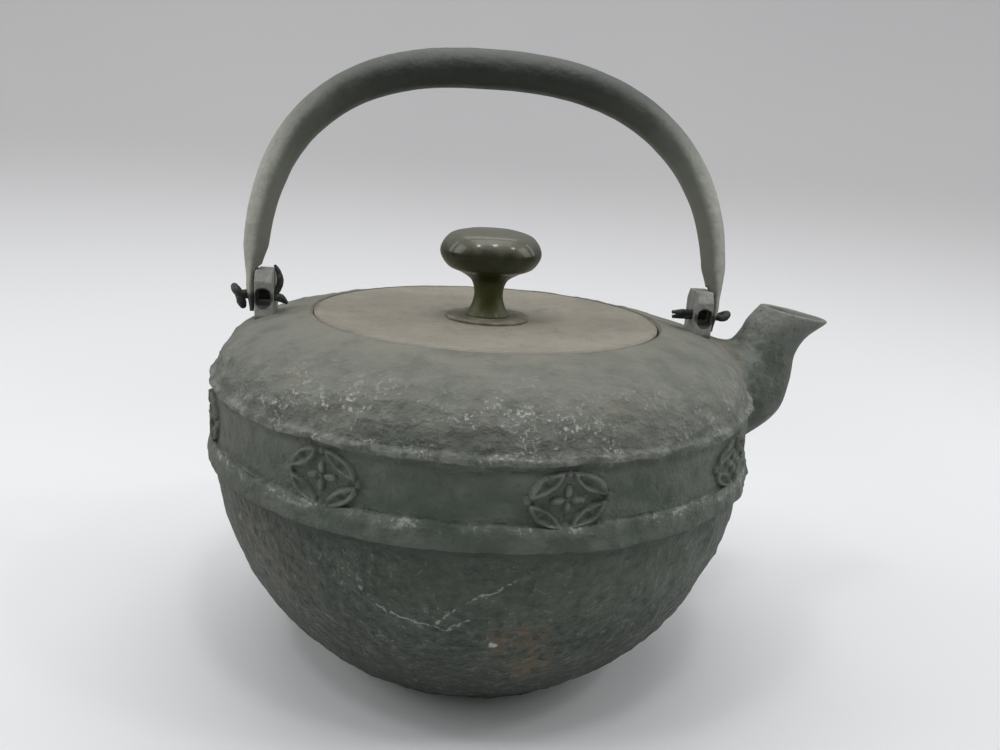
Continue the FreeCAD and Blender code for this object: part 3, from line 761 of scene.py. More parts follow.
def spout_root(turn, inset):
    """The place along the spout, for each turn, at which it leaves the vessel's wall."""
    along = np.linspace(0, 1, SPOUT_ROOT_STEPS)[:, None] + 0 * turn
    depth, _ = above_vessel(spout_points(along, turn + 0 * along, inset)[0])
    buried = depth < -SPOUT_BURIED
    last = len(along) - 1 - np.argmax(buried[::-1], axis=0)
    return np.where(buried.any(axis=0), along[last, 0], 0)


def ring_faces(rows, around):
    """Quads of a grid that closes round in both ways."""
    faces = []
    for row in range(rows):
        low = row * around
        high = (row + 1) % rows * around
        for here in range(around):
            there = (here + 1) % around
            faces.append((low + here, low + there, high + there, high + here))
    return faces


def tidy_normals(piece, close_ends=False):
    """Merges doubled points, closes open ends if asked to, and turns every face outwards."""
    shape = bmesh.new()
    shape.from_mesh(piece.data)
    bmesh.ops.remove_doubles(shape, verts=shape.verts, dist=MERGE_WITHIN)
    if close_ends:
        bmesh.ops.holes_fill(shape, edges=shape.edges)
    bmesh.ops.recalc_face_normals(shape, faces=shape.faces)
    shape.to_mesh(piece.data)
    shape.free()
    return piece


def cut(piece, tool):
    """Cuts a tool's shape out of a piece, and removes the tool."""
    modifier = piece.modifiers.new("cut", "BOOLEAN")
    modifier.operation = "DIFFERENCE"
    modifier.object = tool
    settle(piece)
    bpy.data.objects.remove(tool)
    return piece


def spout_outside(turn, rows):
    """Rings up the outside, from a fillet on the vessel to the mouth."""
    root = spout_root(turn, 0)
    along = root + (1 - root) * rows
    outer, facing = spout_points(along, turn + 0 * along, 0)
    depth, outward = above_vessel(outer)
    above = (1 - np.cos(turn)) / 2
    fillet = SPOUT_FILLET_BELOW + (SPOUT_FILLET_ABOVE - SPOUT_FILLET_BELOW) * above
    left = np.clip(1 - depth / fillet, 0, 1)
    flare = fillet * (1 - np.sqrt(1 - left**2))
    level = facing - outward * np.sum(facing * outward, -1, keepdims=True)
    level /= np.linalg.norm(level, axis=-1, keepdims=True)
    return outer + level * flare[..., None]


def spout_inside(turn, rows):
    """Rings down the inside, whose wall is thinnest at the mouth."""
    root = spout_root(turn, SPOUT_WALL)
    along = root + (1 - root) * rows[::-1]
    thick = SPOUT_WALL + (SPOUT_LIP - SPOUT_WALL) * along**3
    inner, _ = spout_points(along, turn + 0 * along, thick)
    return inner


def spout_lip(outer, inner):
    """Rings over the lip, from the mouth's outer edge to its inner one."""
    lean = math.radians(SPOUT_STATIONS[-1][2])
    out_of_mouth = np.array((math.sin(lean), 0, math.cos(lean)))
    lip = []
    for bend in np.radians(SPOUT_LIP_BENDS):
        middle = (outer + inner) / 2 + (outer - inner) / 2 * math.cos(bend)
        lip.append(middle + out_of_mouth * SPOUT_LIP * SPOUT_LIP_RISE * math.sin(bend))
    return lip


def spout_bore(turn):
    """The room inside the spout, closed at both ends, as a tool for cutting the vessel's wall."""
    along = np.linspace(0, 1, SPOUT_BORE_ROWS)[:, None] + 0 * turn
    points, _ = spout_points(along, turn + 0 * along, SPOUT_WALL)
    faces = ring_faces(SPOUT_BORE_ROWS, SPOUT_AROUND)[:-SPOUT_AROUND]
    bore = new_piece("bore", points.reshape(-1, 3), faces)
    return tidy_normals(bore, close_ends=True)


def spout_finish():
    """The vessel's iron, smoother, with a paler film on its upper side and mouth, and painted shade on its
    outer side.
    """
    material, place = new_finish("sand_cast_spout")
    patches = clouds(place, 9 * mm, 5, 0.6)
    smears = clouds(place, 3 * mm, 4, 0.6)
    out = part_of(place, "X")
    height = part_of(place, "Z")
    filmed = step(height + (patches - 0.5) * 6 * mm, 103 * mm, 121 * mm)
    warm_root = step(out + (smears - 0.5) * 5 * mm, 86 * mm, 78 * mm)
    # Painted shade on the spout's outer side below the mouth.
    to_front = out - 0.6 * (height - 98 * mm) + (patches - 0.5) * 8 * mm
    shaded_side = step(to_front, 89 * mm, 97 * mm) * step(height, 119 * mm, 116 * mm)
    pits = step(clouds(place, 1.8 * mm, 3), 0.36, 0.28)
    skin = overlaid(
        mix(step(patches * 0.6 + smears * 0.4, 0.40, 0.60), SPOUT_DARK, SPOUT_PALE),
        (filmed, 0.55, SPOUT_FILM),
        (warm_root, 0.6, SPOUT_WARM),
        (shaded_side, 0.55, SPOUT_SHADE),
        (pits, 0.3, SPOUT_PIT),
    )
    relief = clouds(place, 5 * mm, 4, 0.55) * 1.3 * mm + clouds(place, 1.2 * mm, 2) * 0.16 * mm
    lay_finish(material, skin, 0.55 + 0.2 * smears, relief - pits * 0.2 * mm, gloss=0.45)
    return material


spout_turn = np.linspace(0, 2 * math.pi, SPOUT_AROUND, endpoint=False)
spout_rows = np.linspace(0, 1, SPOUT_ROWS)[:, None]
outer = spout_outside(spout_turn, spout_rows)
inner = spout_inside(spout_turn, spout_rows)
walls = np.concatenate((outer, spout_lip(outer[-1], inner[0]), inner))
spout = new_piece("kettle_spout", walls.reshape(-1, 3), ring_faces(len(walls), SPOUT_AROUND))
tidy_normals(spout)
mark(spout, "skin", np.ones(len(spout.data.vertices)))

# The vessel takes its cast skin here, once the spout's bore is cut through its wall.
cut(vessel, spout_bore(spout_turn))
grow(vessel, cast_skin, finish=vessel_iron, **VESSEL_SKIN, **VESSEL_CRUST)
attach(vessel, "kettle")
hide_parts("kettle_body")

spout_iron = spout_finish()
grow(
    spout, cast_skin, finish=spout_iron, seed=5.0,
    lump=8 * mm, lump_height=0.35 * mm, grain=2.5 * mm, grain_height=0.12 * mm,
)
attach(spout, "kettle")
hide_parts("spout")


# Medallions: eight raised ornaments along the band, each four pointed petals round a flower.
# They are part of the vessel's casting, pressed into the mould with one carved stamp.

MEDALLION_HALF_WIDTH = 10.2 * mm
MEDALLION_HALF_HEIGHT = 7.3 * mm
MEDALLION_MARGIN = 2.4 * mm
MEDALLION_RELIEF = 1.3 * mm
MEDALLION_ROOT = 0.7 * mm
MEDALLION_GRAIN = 0.25 * mm
MEDALLION_HEIGHT = (LOWER_RIB_HIGH + UPPER_RIB - UPPER_RIB_ROUND) / 2 - 0.9 * mm
MEDALLION_COUNT = 8
# Degrees from the spout to the first medallion on each side, and from each to the next.
MEDALLION_FIRST = 37.9
MEDALLION_SPACING = 41.6
PETAL_TIP_GAP = 0.1
PETAL_WAIST = 0.33
PETAL_HEART = 1.1 * mm
# The flower's petals, as (across, up, half length across, half length up), one of each mirrored pair.
FLOWER_PETALS = ((2.6 * mm, 0.0, 2.4 * mm, 1.1 * mm), (0.0, 2.1 * mm, 1.2 * mm, 2.0 * mm))
# Beads between the petals' tips and in the flower's middle, as (across, up, radius).
BEADS = (
    (MEDALLION_HALF_WIDTH + 0.5 * mm, 0.0, 1.4 * mm),
    (0.0, MEDALLION_HALF_HEIGHT - 0.6 * mm, 1.2 * mm),
    (0.0, 0.0, 0.8 * mm),
)


def stamp_relief(x, y):
    """The stamp's height across and up from its middle, where its hollows take painted shade, and where its
    worn tops take a painted highlight.
    """
    size = (MEDALLION_HALF_WIDTH + MEDALLION_HALF_HEIGHT) / 2
    u = (np.abs(x) / MEDALLION_HALF_WIDTH - PETAL_TIP_GAP) / (1 - PETAL_TIP_GAP)
    v = (np.abs(y) / MEDALLION_HALF_HEIGHT - PETAL_TIP_GAP) / (1 - PETAL_TIP_GAP)
    # The petal lies between the round outside and an arc that bows in to the waist.
    bow = (1 - 2 * PETAL_WAIST**2) / (2 * (1 - 2 * PETAL_WAIST))
    bow_radius = (bow - PETAL_WAIST) * math.sqrt(2)
    inside = -np.maximum(np.hypot(u, v) - 1, np.hypot(u - bow, v - bow) - bow_radius) * size
    rim = fade(inside, -0.7 * mm, 0.5 * mm) - 0.4 * fade(inside, 0.6 * mm, 1.7 * mm)
    heart = math.sqrt(0.5) / 2 + PETAL_WAIST / 2
    seed = np.exp(-((u - heart) ** 2 + (v - heart) ** 2) * (size / PETAL_HEART) ** 2)
    relief = rim - 0.2 * seed * (inside > 0)
    within = 1 - np.hypot(x / MEDALLION_HALF_WIDTH, y / MEDALLION_HALF_HEIGHT)
    relief = np.maximum(relief, 0.3 * fade(within, -0.02, 0.08))
    for across, up, half_across, half_up in FLOWER_PETALS:
        away = np.hypot((np.abs(x) - across) / half_across, (np.abs(y) - up) / half_up)
        relief = np.maximum(relief, 0.95 * fade(-away, -1.35, -0.4))
    for across, up, radius in BEADS:
        away = np.hypot(np.abs(x) - across, np.abs(y) - up) / radius
        relief = np.maximum(relief, 0.8 * fade(-away, -1.3, -0.4))
    carved = fade(within, 0.0, 0.1) * (1 - fade(relief, 0.30, 0.62))
    rubbed_and_lit = fade(relief, 0.72, 0.98)
    return relief * (MEDALLION_RELIEF + MEDALLION_ROOT) - MEDALLION_ROOT, carved, rubbed_and_lit


def medallion_stamp():
    """One flat medallion as a closed tile: X is the way round, Y up and Z out."""
    half = (MEDALLION_HALF_WIDTH + MEDALLION_MARGIN, MEDALLION_HALF_HEIGHT + MEDALLION_MARGIN / 2)
    count = [1 + 2 * round(length / MEDALLION_GRAIN) for length in half]
    x, y = np.meshgrid(*(np.linspace(-h, h, n) for h, n in zip(half, count)), indexing="ij")
    relief, carved, rubbed_and_lit = stamp_relief(x, y)
    vertices = np.stack((x, y, relief), -1).reshape(-1, 3)
    number = np.arange(len(vertices)).reshape(count)
    corners = (number[:-1, :-1], number[1:, :-1], number[1:, 1:], number[:-1, 1:])
    faces = np.stack(corners, -1).reshape(-1, 4).tolist()
    edge = (number[:, 0], number[-1, 1:], number[-2::-1, -1], number[0, -2:0:-1])
    faces.append(np.concatenate(edge)[::-1].tolist())
    stamp = new_piece("kettle_medallions", vertices, faces)
    mark(stamp, "carved", carved.ravel())
    mark(stamp, "rubbed_and_lit", rubbed_and_lit.ravel())
    return stamp


def medallion_band_tree():
    """Repeats a tile on both sides of the spout and wraps the row round the band."""
    tree, given = new_tree(
        "medallion_band", count="Int", first="Float", spacing="Float",
        band_radius="Float", band_height="Float",
    )
    start = given["piece"]
    index = start.node("GeometryNodeInputIndex")
    half = index.math("FLOOR", index / 2)
    side = 1 - 2 * index.math("MODULO", index, 2.0)
    turn = side * (given["first"] + given["spacing"] * half)
    place = start.node("ShaderNodeCombineXYZ", None, {"X": turn * given["band_radius"]})
    points = start.node("GeometryNodePoints", None, {"Count": given["count"], "Position": place})
    tiles = start.node("GeometryNodeInstanceOnPoints", None, {"Points": points, "Instance": start})
    real = start.node("GeometryNodeRealizeInstances", None, {"Geometry": tiles})
    flat = start.node("GeometryNodeInputPosition")
    turned_by = part_of(flat, "X") / given["band_radius"]
    radius = part_of(flat, "Z") + given["band_radius"]
    wrapped = start.node(
        "ShaderNodeCombineXYZ",
        None,
        {
            "X": radius * turned_by.math("COSINE", turned_by),
            "Y": radius * turned_by.math("SINE", turned_by),
            "Z": part_of(flat, "Y") + given["band_height"],
        },
    )
    band = start.node("GeometryNodeSetPosition", None, {"Geometry": real, "Position": wrapped})
    end_tree(tree, band, given["finish"])
    return tree


medallions = medallion_stamp()
grow(
    medallions, medallion_band_tree(), finish=vessel_iron, count=MEDALLION_COUNT,
    first=math.radians(MEDALLION_FIRST), spacing=math.radians(MEDALLION_SPACING),
    band_radius=BOWL_RADIUS, band_height=MEDALLION_HEIGHT,
)
mark(medallions, "skin", skin_depth(places(medallions)))
mark(medallions, "inside", np.zeros(len(medallions.data.vertices)))
grow(medallions, cast_skin, finish=vessel_iron, **VESSEL_SKIN)
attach(medallions, "kettle")
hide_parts("kettle_body")


# Lugs: two upright ears on the shoulder, each with a window through which the split pin is seen.
# They are iron, cast in by a tang, and smoother than the vessel, with chamfered tops.

LUG_CHAMFER_DEPTH = 2.0 * mm
LUG_CHAMFER_HEIGHT = 3.4 * mm
LUG_WINDOW_WIDTH = 4.2 * mm
LUG_WINDOW_BELOW = 2.6 * mm
LUG_WINDOW_ABOVE = 2.3 * mm
LUG_BURIED = 2.0 * mm
LUG_FOOT_BELOW_RIM = 6 * mm
LUG_GRAIN = 0.28 * mm
LUG_WEAR = 3
LUG_SCOOP = (2.4 * mm, 2.2 * mm, 3.0 * mm)
LUG_SCOOP_BACK = (2.2 * mm, 1.2 * mm, 2.4 * mm)
LUG_SCOOP_BELOW = 0.2 * mm
PIN_BORE = 1.66 * mm
TOOL_OVERRUN = 1 * mm
ROUND_SIDES = 48

LUG_DARK = (0.235, 0.243, 0.225)
LUG_PALE = (0.350, 0.350, 0.325)
LUG_RUST = (0.13, 0.085, 0.05)
# Painted shade round the lug's window.
LUG_WINDOW_SHADE = (0.022, 0.027, 0.022)
LUG_FOOT_DIRT = (0.05, 0.05, 0.042)

pin_hinge = next(j for j in frame["joints"] if j["name"] == "handle_swing")
PIN_HEIGHT = pin_hinge["pos_m"][2]
lug_low, lug_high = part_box("spout_lug")
LUG_MIDDLE = (lug_low.x + lug_high.x) / 2
LUG_HALF = lug_high.y


def slab(name, sides, low_x, high_x):
    """A plate whose face is a polygon of (y, z) corners, between two places along X."""
    count = len(sides)
    vertices = [(x, *corner) for x in (low_x, high_x) for corner in sides]
    faces = [list(range(count))[::-1], list(range(count, 2 * count))]
    faces += [(i, (i + 1) % count, count + (i + 1) % count, count + i) for i in range(count)]
    return new_piece(name, vertices, faces)


def piece_of(name, shape):
    """A new piece with the shape of a bmesh, which is freed."""
    piece = new_piece(name, [], [])
    shape.to_mesh(piece.data)
    shape.free()
    return piece


def rod(name, radius, low_x, high_x, height):
    """A round rod along X."""
    turn = Matrix.Rotation(math.pi / 2, 4, "Y")
    middle = Matrix.Translation(((low_x + high_x) / 2, 0, height))
    shape = bmesh.new()
    bmesh.ops.create_cone(
        shape, cap_ends=True, segments=ROUND_SIDES, radius1=radius, radius2=radius,
        depth=high_x - low_x, matrix=middle @ turn,
    )
    return piece_of(name, shape)


def ball(name, middle, reach):
    """A round form with its own reach along X, Y and Z."""
    sized = Matrix.Translation(middle) @ Matrix.Diagonal((*reach, 1))
    shape = bmesh.new()
    bmesh.ops.create_uvsphere(
        shape, u_segments=ROUND_SIDES, v_segments=ROUND_SIDES // 2, radius=1, matrix=sized
    )
    return piece_of(name, shape)


def lug_finish():
    """Mid grey iron with a fine skin, painted shade round the window and rusty in specks."""
    material, place = new_finish("lug_iron")
    patches = clouds(place, 5 * mm, 5, 0.6)
    rusty = step(clouds(place, 3 * mm, 4), 0.62, 0.72)
    height = part_of(place, "Z") + (patches - 0.5) * 1.5 * mm
    to_side = part_of(place, "X")
    to_face = part_of(place, "Y")
    # Painted shade on the front faces round the window, where its scooped hollow lies.
    across = (to_side.math("ABSOLUTE", to_side) - LUG_MIDDLE) / (LUG_SCOOP[0] + 0.5 * mm)
    up = (height - (PIN_HEIGHT - LUG_SCOOP_BELOW)) / (LUG_SCOOP[2] + 0.3 * mm)
    face = step(to_face.math("ABSOLUTE", to_face), LUG_HALF - 3.4 * mm, LUG_HALF - 2.0 * mm)
    window_shade = step(across * across + up * up, 1.2, 0.85) * face
    foot = step(height, PIN_HEIGHT - 5.4 * mm, PIN_HEIGHT - 6.8 * mm)
    skin = overlaid(
        mix(step(patches, 0.34, 0.66), LUG_DARK, LUG_PALE),
        (rusty, 0.35, LUG_RUST),
        (window_shade, 0.9, LUG_WINDOW_SHADE),
        (foot, 0.7, LUG_FOOT_DIRT),
    )
    relief = clouds(place, 1.8 * mm, 4, 0.6) * 0.5 * mm + clouds(place, 0.6 * mm, 2) * 0.12 * mm
    lay_finish(material, skin, 0.5 + 0.3 * patches, relief, gloss=0.45)
    return material


def evened(piece, grain, rounds):
    """Gives a piece an even mesh of small faces, with its edges worn round."""
    remesh = piece.modifiers.new("even", "REMESH")
    remesh.mode = "VOXEL"
    remesh.voxel_size = grain
    remesh.use_smooth_shade = True
    worn = piece.modifiers.new("worn", "SMOOTH")
    worn.iterations = rounds
    settle(piece)
    mark(piece, "skin", np.ones(len(piece.data.vertices)))
    return piece


def carved_lug(node):
    """One ear: a plate with a chamfered top, a window with scooped mouths, and the pin's bore."""
    low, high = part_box(node)
    middle = (low.x + high.x) / 2
    half = high.y
    top = high.z
    base = RIM - LUG_FOOT_BELOW_RIM - LUG_BURIED
    flat = half - LUG_CHAMFER_DEPTH
    side_top = top - LUG_CHAMFER_HEIGHT
    sides = ((-half, base), (half, base), (half, side_top), (flat, top), (-flat, top), (-half, side_top))
    ear = slab("kettle_" + node, sides, low.x, high.x)
    window_low = PIN_HEIGHT - LUG_WINDOW_BELOW
    window_high = PIN_HEIGHT + LUG_WINDOW_ABOVE
    beyond = half + TOOL_OVERRUN
    window = ((-beyond, window_low), (beyond, window_low), (beyond, window_high), (-beyond, window_high))
    window_half = LUG_WINDOW_WIDTH / 2
    cut(ear, slab("window", window, middle - window_half, middle + window_half))
    for facing, scoop in ((-half, LUG_SCOOP), (half, LUG_SCOOP_BACK)):
        cut(ear, ball("scoop", (middle, facing, PIN_HEIGHT - LUG_SCOOP_BELOW), scoop))
    cut(ear, rod("pin_bore", PIN_BORE, low.x - TOOL_OVERRUN, high.x + TOOL_OVERRUN, PIN_HEIGHT))
    return evened(ear, LUG_GRAIN, LUG_WEAR)


lug_iron = lug_finish()
for node, seed in (("spout_lug", 8.0), ("rear_lug", 6.0)):
    ear = carved_lug(node)
    grow(
        ear, cast_skin, finish=lug_iron, seed=seed,
        lump=4 * mm, lump_height=0.25 * mm, grain=1.2 * mm, grain_height=0.08 * mm,
    )
    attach(ear, "kettle")
    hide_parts(node)


# Split pins: folded iron strip through the handle's ends and the lugs, one on each side.
# The eye stays outside and the two legs are bent apart inside. They are black with scale.

# Points along each strip, from leg to leg round the eye, as (out from the kettle's axis, up from the
# pin's line, to the back, half thickness) in millimetres.
PIN_STRIPS = {
    "spout_split_pin": (
        (62.2, 0.7, -0.9, 0.60), (65.6, 0.8, -0.5, 0.95), (69.2, 0.5, 0.0, 1.10), (71.0, 0.5, 0.0, 1.10),
        (74.0, 0.5, 0.0, 1.10), (77.0, 0.3, 0.0, 1.10), (78.8, -0.5, -1.5, 1.20), (80.3, -0.1, -1.5, 1.30),
        (81.4, 0.7, 0.0, 1.20), (80.3, -0.1, 1.5, 1.30), (78.8, -0.8, 1.5, 1.20), (77.0, -0.5, 0.0, 1.10),
        (74.0, -0.5, 0.0, 1.10), (71.0, -0.5, 0.0, 1.10), (69.2, -0.5, 0.0, 1.10), (65.6, -0.8, 0.5, 0.95),
        (62.7, -1.1, 0.8, 0.60),
    ),
    "rear_split_pin": (
        (69.0, 9.7, 0.0, 0.35), (67.8, 7.4, 0.0, 0.85), (67.3, 5.1, 0.0, 1.05), (67.6, 2.8, 0.0, 1.05),
        (69.2, 0.7, 0.0, 1.05), (71.0, 0.5, 0.0, 1.10), (74.0, 0.5, 0.0, 1.10), (77.0, 0.5, 0.0, 1.10),
        (79.6, 0.2, -1.0, 1.25), (81.2, 1.5, -1.0, 1.30), (81.8, 2.2, 0.0, 1.15), (81.2, 1.1, 1.0, 1.30),
        (80.3, -1.1, 1.1, 1.35), (79.5, -3.1, 0.9, 1.30), (79.1, -3.8, 0.0, 1.15), (79.5, -2.7, -0.9, 1.30),
        (79.6, -1.0, -1.0, 1.20), (77.0, -0.5, 0.0, 1.10), (74.0, -0.5, 0.0, 1.10), (71.0, -0.5, 0.0, 1.10),
        (69.2, -0.5, 0.0, 1.15), (67.2, -1.0, 0.0, 1.35), (65.0, -2.7, 0.0, 0.40),
    ),
}
PIN_POINTS = 200
PIN_SIDES = 14

PIN_DARK = (0.014, 0.018, 0.015)
PIN_PALE = (0.040, 0.046, 0.040)
PIN_WORN = (0.17, 0.17, 0.155)


def bent_line(name, points, closed=False):
    """A piece that is only a line of edges through points."""
    edges = [(i, i + 1) for i in range(len(points) - 1)]
    if closed:
        edges.append((len(points) - 1, 0))
    line = bpy.data.meshes.new(name)
    line.from_pydata([tuple(point) for point in points], edges, [])
    piece = bpy.data.objects.new(name, line)
    bpy.context.scene.collection.objects.link(piece)
    return piece


def bent_strip_tree():
    """Sweeps a round section along a line whose points carry half the strip's thickness."""
    tree, given = new_tree("bent_strip", around="Int")
    start = given["piece"]
    line = start.node("GeometryNodeMeshToCurve", None, {"Mesh": start})
    ring = {"Resolution": given["around"], "Radius": 1.0}
    section = start.node("GeometryNodeCurvePrimitiveCircle", None, ring)
    sweep = {"Curve": line, "Profile Curve": section, "Scale": named(start, "thick"), "Fill Caps": True}
    strip = start.node("GeometryNodeCurveToMesh", None, sweep)
    end_tree(tree, strip, given["finish"])
    return tree


def pin_finish():
    """Black, scaly iron, worn to bare metal in places."""
    material, place = new_finish("black_pin_iron")
    patches = clouds(place, 3 * mm, 4, 0.6)
    iron = mix(step(patches, 0.35, 0.65), PIN_DARK, PIN_PALE)
    worn = step(clouds(place, 2.2 * mm, 3), 0.56, 0.70)
    skin = overlaid(iron, (worn, 0.6, PIN_WORN))
    relief = clouds(place, 1.2 * mm, 3, 0.6) * 0.35 * mm
    lay_finish(material, skin, 0.45 + 0.25 * patches, relief, gloss=0.5)
    return material


pin_iron = pin_finish()
bent_strip = bent_strip_tree()
for node, strip in PIN_STRIPS.items():
    side = math.copysign(1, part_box(node)[1].x)
    out, up, back, thick = through(strip, np.linspace(0, 1, PIN_POINTS)).T * mm
    pin = bent_line("kettle_" + node, np.column_stack((side * out, back, PIN_HEIGHT + up)))
    mark(pin, "thick", thick)
    grow(pin, bent_strip, finish=pin_iron, around=PIN_SIDES)
    tidy_normals(pin)
    mark(pin, "skin", np.ones(len(pin.data.vertices)))
    grow(
        pin, cast_skin, finish=pin_iron, seed=9.0,
        lump=2.4 * mm, lump_height=0.5 * mm, grain=1 * mm, grain_height=0.1 * mm,
    )
    pin.data.shade_smooth()
    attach(pin, "kettle")
    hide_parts(node)


# Handle: a bail that rises from the two pins and swings over the lid.
# It is forged iron, ridged along both faces, with flattened and bored ends.

HANDLE_ROUNDNESS = 2.47
HANDLE_SKEW = -2.8 * mm
HANDLE_LEG_INSET = 0.9 * mm
HANDLE_TAPER_FROM = 4 * mm
HANDLE_TAPER_TO = 17 * mm
HANDLE_LEG_THICKNESS = 7.0 * mm
HANDLE_APEX_THICKNESS = 12.0 * mm
HANDLE_LEG_WIDTH = 8.6 * mm
HANDLE_RISE = 73.5 * mm
TAB_INNER = 74.75 * mm
TAB_THICKNESS = 3.2 * mm
TAB_RADIUS = 5.6 * mm
TAB_TURN = 0.12
TAB_THINNED = 0.55
TAB_NARROWED = 0.98
HANDLE_SWING = 9.6 * mm
HANDLE_POINTS = 220
# Half of the section, as shares of its thickness (outwards) and of its width.
RIDGED_HALF = ((0.5, 0.0), (0.44, 0.24), (-0.02, 0.5), (-0.38, 0.37), (-0.5, 0.15))
CORNER_CUT = 0.25
CORNER_CUTS = 3

# Bail tones: the apex front dark as painted shade, legs and outer side pale partly from wear, partly
# painted light.
HANDLE_DARK = (0.013, 0.019, 0.011)
HANDLE_DARK_PATCH = (0.024, 0.032, 0.021)
HANDLE_LEG_DARK = (0.180, 0.192, 0.160)
HANDLE_APEX_PALE = (0.100, 0.110, 0.096)
HANDLE_LEG_PALE = (0.305, 0.318, 0.274)
HANDLE_LEG_PALEST = (0.400, 0.410, 0.355)
HANDLE_FOOT = (0.42, 0.40, 0.33)
# The tab below the pin: dark iron darkened further with painted shade.
HANDLE_TIP = (0.030, 0.033, 0.028)

handle_low, handle_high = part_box("handle")
HANDLE_APEX_WIDTH = handle_high.y - handle_low.y


def ridged_section():
    """The section as a closed loop of edges: X is its width and Y points into the bail."""
    points = np.array(RIDGED_HALF + tuple((u, -v) for u, v in RIDGED_HALF[:0:-1]))
    for _ in range(CORNER_CUTS):
        ahead = np.roll(points, -1, axis=0)
        off = (ahead - points) * CORNER_CUT
        points = np.stack((points + off, ahead - off), 1).reshape(-1, 2)
    return bent_line("kettle_handle", [(v, -u, 0) for u, v in points], closed=True)


def bail_tree():
    """Sweeps a section along a superellipse from pin to pin, thinned and rounded at its ends."""
    tree, given = new_tree(
        "bail", points="Int", half_span="Float", rise="Float", roundness="Float", skew="Float",
        pin_height="Float", taper_from="Float", taper_to="Float", tab_shift="Float",
        tab_thickness="Float", tab_radius="Float",
        leg_thickness="Float", apex_thickness="Float", leg_width="Float", apex_width="Float",
    )
    start = given["piece"]
    line = start.node("GeometryNodeCurvePrimitiveLine")
    line = start.node("GeometryNodeResampleCurve", None, {"Curve": line, "Count": given["points"]})
    along = start.node("GeometryNodeSplineParameter") * (math.pi + 2 * TAB_TURN) - TAB_TURN
    turn = along.node("ShaderNodeClamp", None, {"Value": along, "Max": math.pi})
    past = along.math("ABSOLUTE", along - turn) / TAB_TURN
    sine = turn.math("SINE", turn)
    cosine = turn.math("COSINE", turn)
    side = cosine.math("SIGN", cosine)
    power = 2 / given["roundness"]
    height = given["rise"] * sine.math("MAXIMUM", sine, 0.0) ** power
    ends = {"Value": height, "From Min": given["taper_from"], "From Max": given["taper_to"]}
    tapered = height.node("ShaderNodeMapRange", None, ends)
    round_end = past.math("SINE", past * (math.pi / 2))
    reach = given["half_span"] * cosine.math("ABSOLUTE", cosine) ** power
    shift = given["tab_shift"] * (1 - tapered)
    place = start.node(
        "ShaderNodeCombineXYZ",
        None,
        {
            "X": side * (reach + shift) + given["skew"] * sine * sine,
            "Z": given["pin_height"] + height - round_end * given["tab_radius"],
        },
    )
    full = given["leg_thickness"] + (given["apex_thickness"] - given["leg_thickness"]) * sine
    thick = given["tab_thickness"] + (full - given["tab_thickness"]) * tapered
    thick = thick * (1 - TAB_THINNED * round_end * round_end)
    wide = given["leg_width"] + (given["apex_width"] - given["leg_width"]) * sine
    wide = wide * past.math("COSINE", past * (math.pi / 2) * TAB_NARROWED)
    path = start.node("GeometryNodeSetPosition", None, {"Geometry": line, "Position": place})
    upright = {"Curve": path, "Normal": (0, 1, 0)}
    path = start.node("GeometryNodeSetCurveNormal", {"mode": "FREE"}, upright)
    for name, value in (("thick", thick), ("broad", wide / thick)):
        kept = {"Geometry": path, "Name": name, "Value": value}
        path = start.node("GeometryNodeStoreNamedAttribute", {"data_type": "FLOAT"}, kept)
    section = start.node("GeometryNodeMeshToCurve", None, {"Mesh": start})
    inward = part_of(start.node("GeometryNodeInputPosition"), "Y")
    kept = {"Geometry": section, "Name": "outward", "Value": 0 - inward}
    section = start.node("GeometryNodeStoreNamedAttribute", {"data_type": "FLOAT"}, kept)
    sweep = {"Curve": path, "Profile Curve": section, "Scale": named(start, "thick"), "Fill Caps": True}
    bail = start.node("GeometryNodeCurveToMesh", None, sweep)
    swept = start.node("GeometryNodeInputPosition")
    widened = start.node(
        "ShaderNodeCombineXYZ",
        None,
        {
            "X": part_of(swept, "X"),
            "Y": part_of(swept, "Y") * named(start, "broad"),
            "Z": part_of(swept, "Z"),
        },
    )
    bail = start.node("GeometryNodeSetPosition", None, {"Geometry": bail, "Position": widened})
    end_tree(tree, bail, given["finish"])
    return tree


def handle_finish():
    """Dark forged iron, paler along the outside and on the legs from wear and painted light, with painted
    shade.
    """
    material, place = new_finish("forged_handle")
    patches = clouds(place, 16 * mm, 5, 0.6)
    fine = clouds(place, 2.2 * mm, 4, 0.6)
    height = part_of(place, "Z")
    leg = step(height + (patches - 0.5) * 20 * mm, PIN_HEIGHT + 74 * mm, PIN_HEIGHT + 36 * mm)
    mottled = step(patches * 0.5 + fine * 0.5, 0.36, 0.62)
    # Darkest on the apex front as painted shade; paler on the legs and outer side, partly wear, partly
    # painted light.
    dark = mix(leg, mix(mottled, HANDLE_DARK, HANDLE_DARK_PATCH), HANDLE_LEG_DARK)
    pale = mix(leg, HANDLE_APEX_PALE, mix(mottled, HANDLE_LEG_PALE, HANDLE_LEG_PALEST))
    edge = marked(place, "outward") - 0.22 + 0.32 * leg
    rubbed_and_lit = step(edge + (patches - 0.5) * 0.2 + (fine - 0.5) * 0.1, -0.12, 0.16)
    uneven = height + (fine - 0.5) * 3 * mm
    foot = step(uneven, PIN_HEIGHT + 8 * mm, PIN_HEIGHT + 3 * mm) * step(fine, 0.35, 0.55)
    # The tab below the pin is dark iron darkened further with painted shade.
    tip = step(uneven, PIN_HEIGHT + 1.5 * mm, PIN_HEIGHT - 0.5 * mm)
    skin = overlaid(mix(rubbed_and_lit, dark, pale), (foot, 0.6, HANDLE_FOOT), (tip, 0.9, HANDLE_TIP))
    relief = clouds(place, 5 * mm, 4, 0.5) * 0.6 * mm + clouds(place, 1 * mm, 2) * 0.10 * mm
    lay_finish(material, skin, 0.44 + 0.22 * fine, relief, gloss=0.5)
    return material


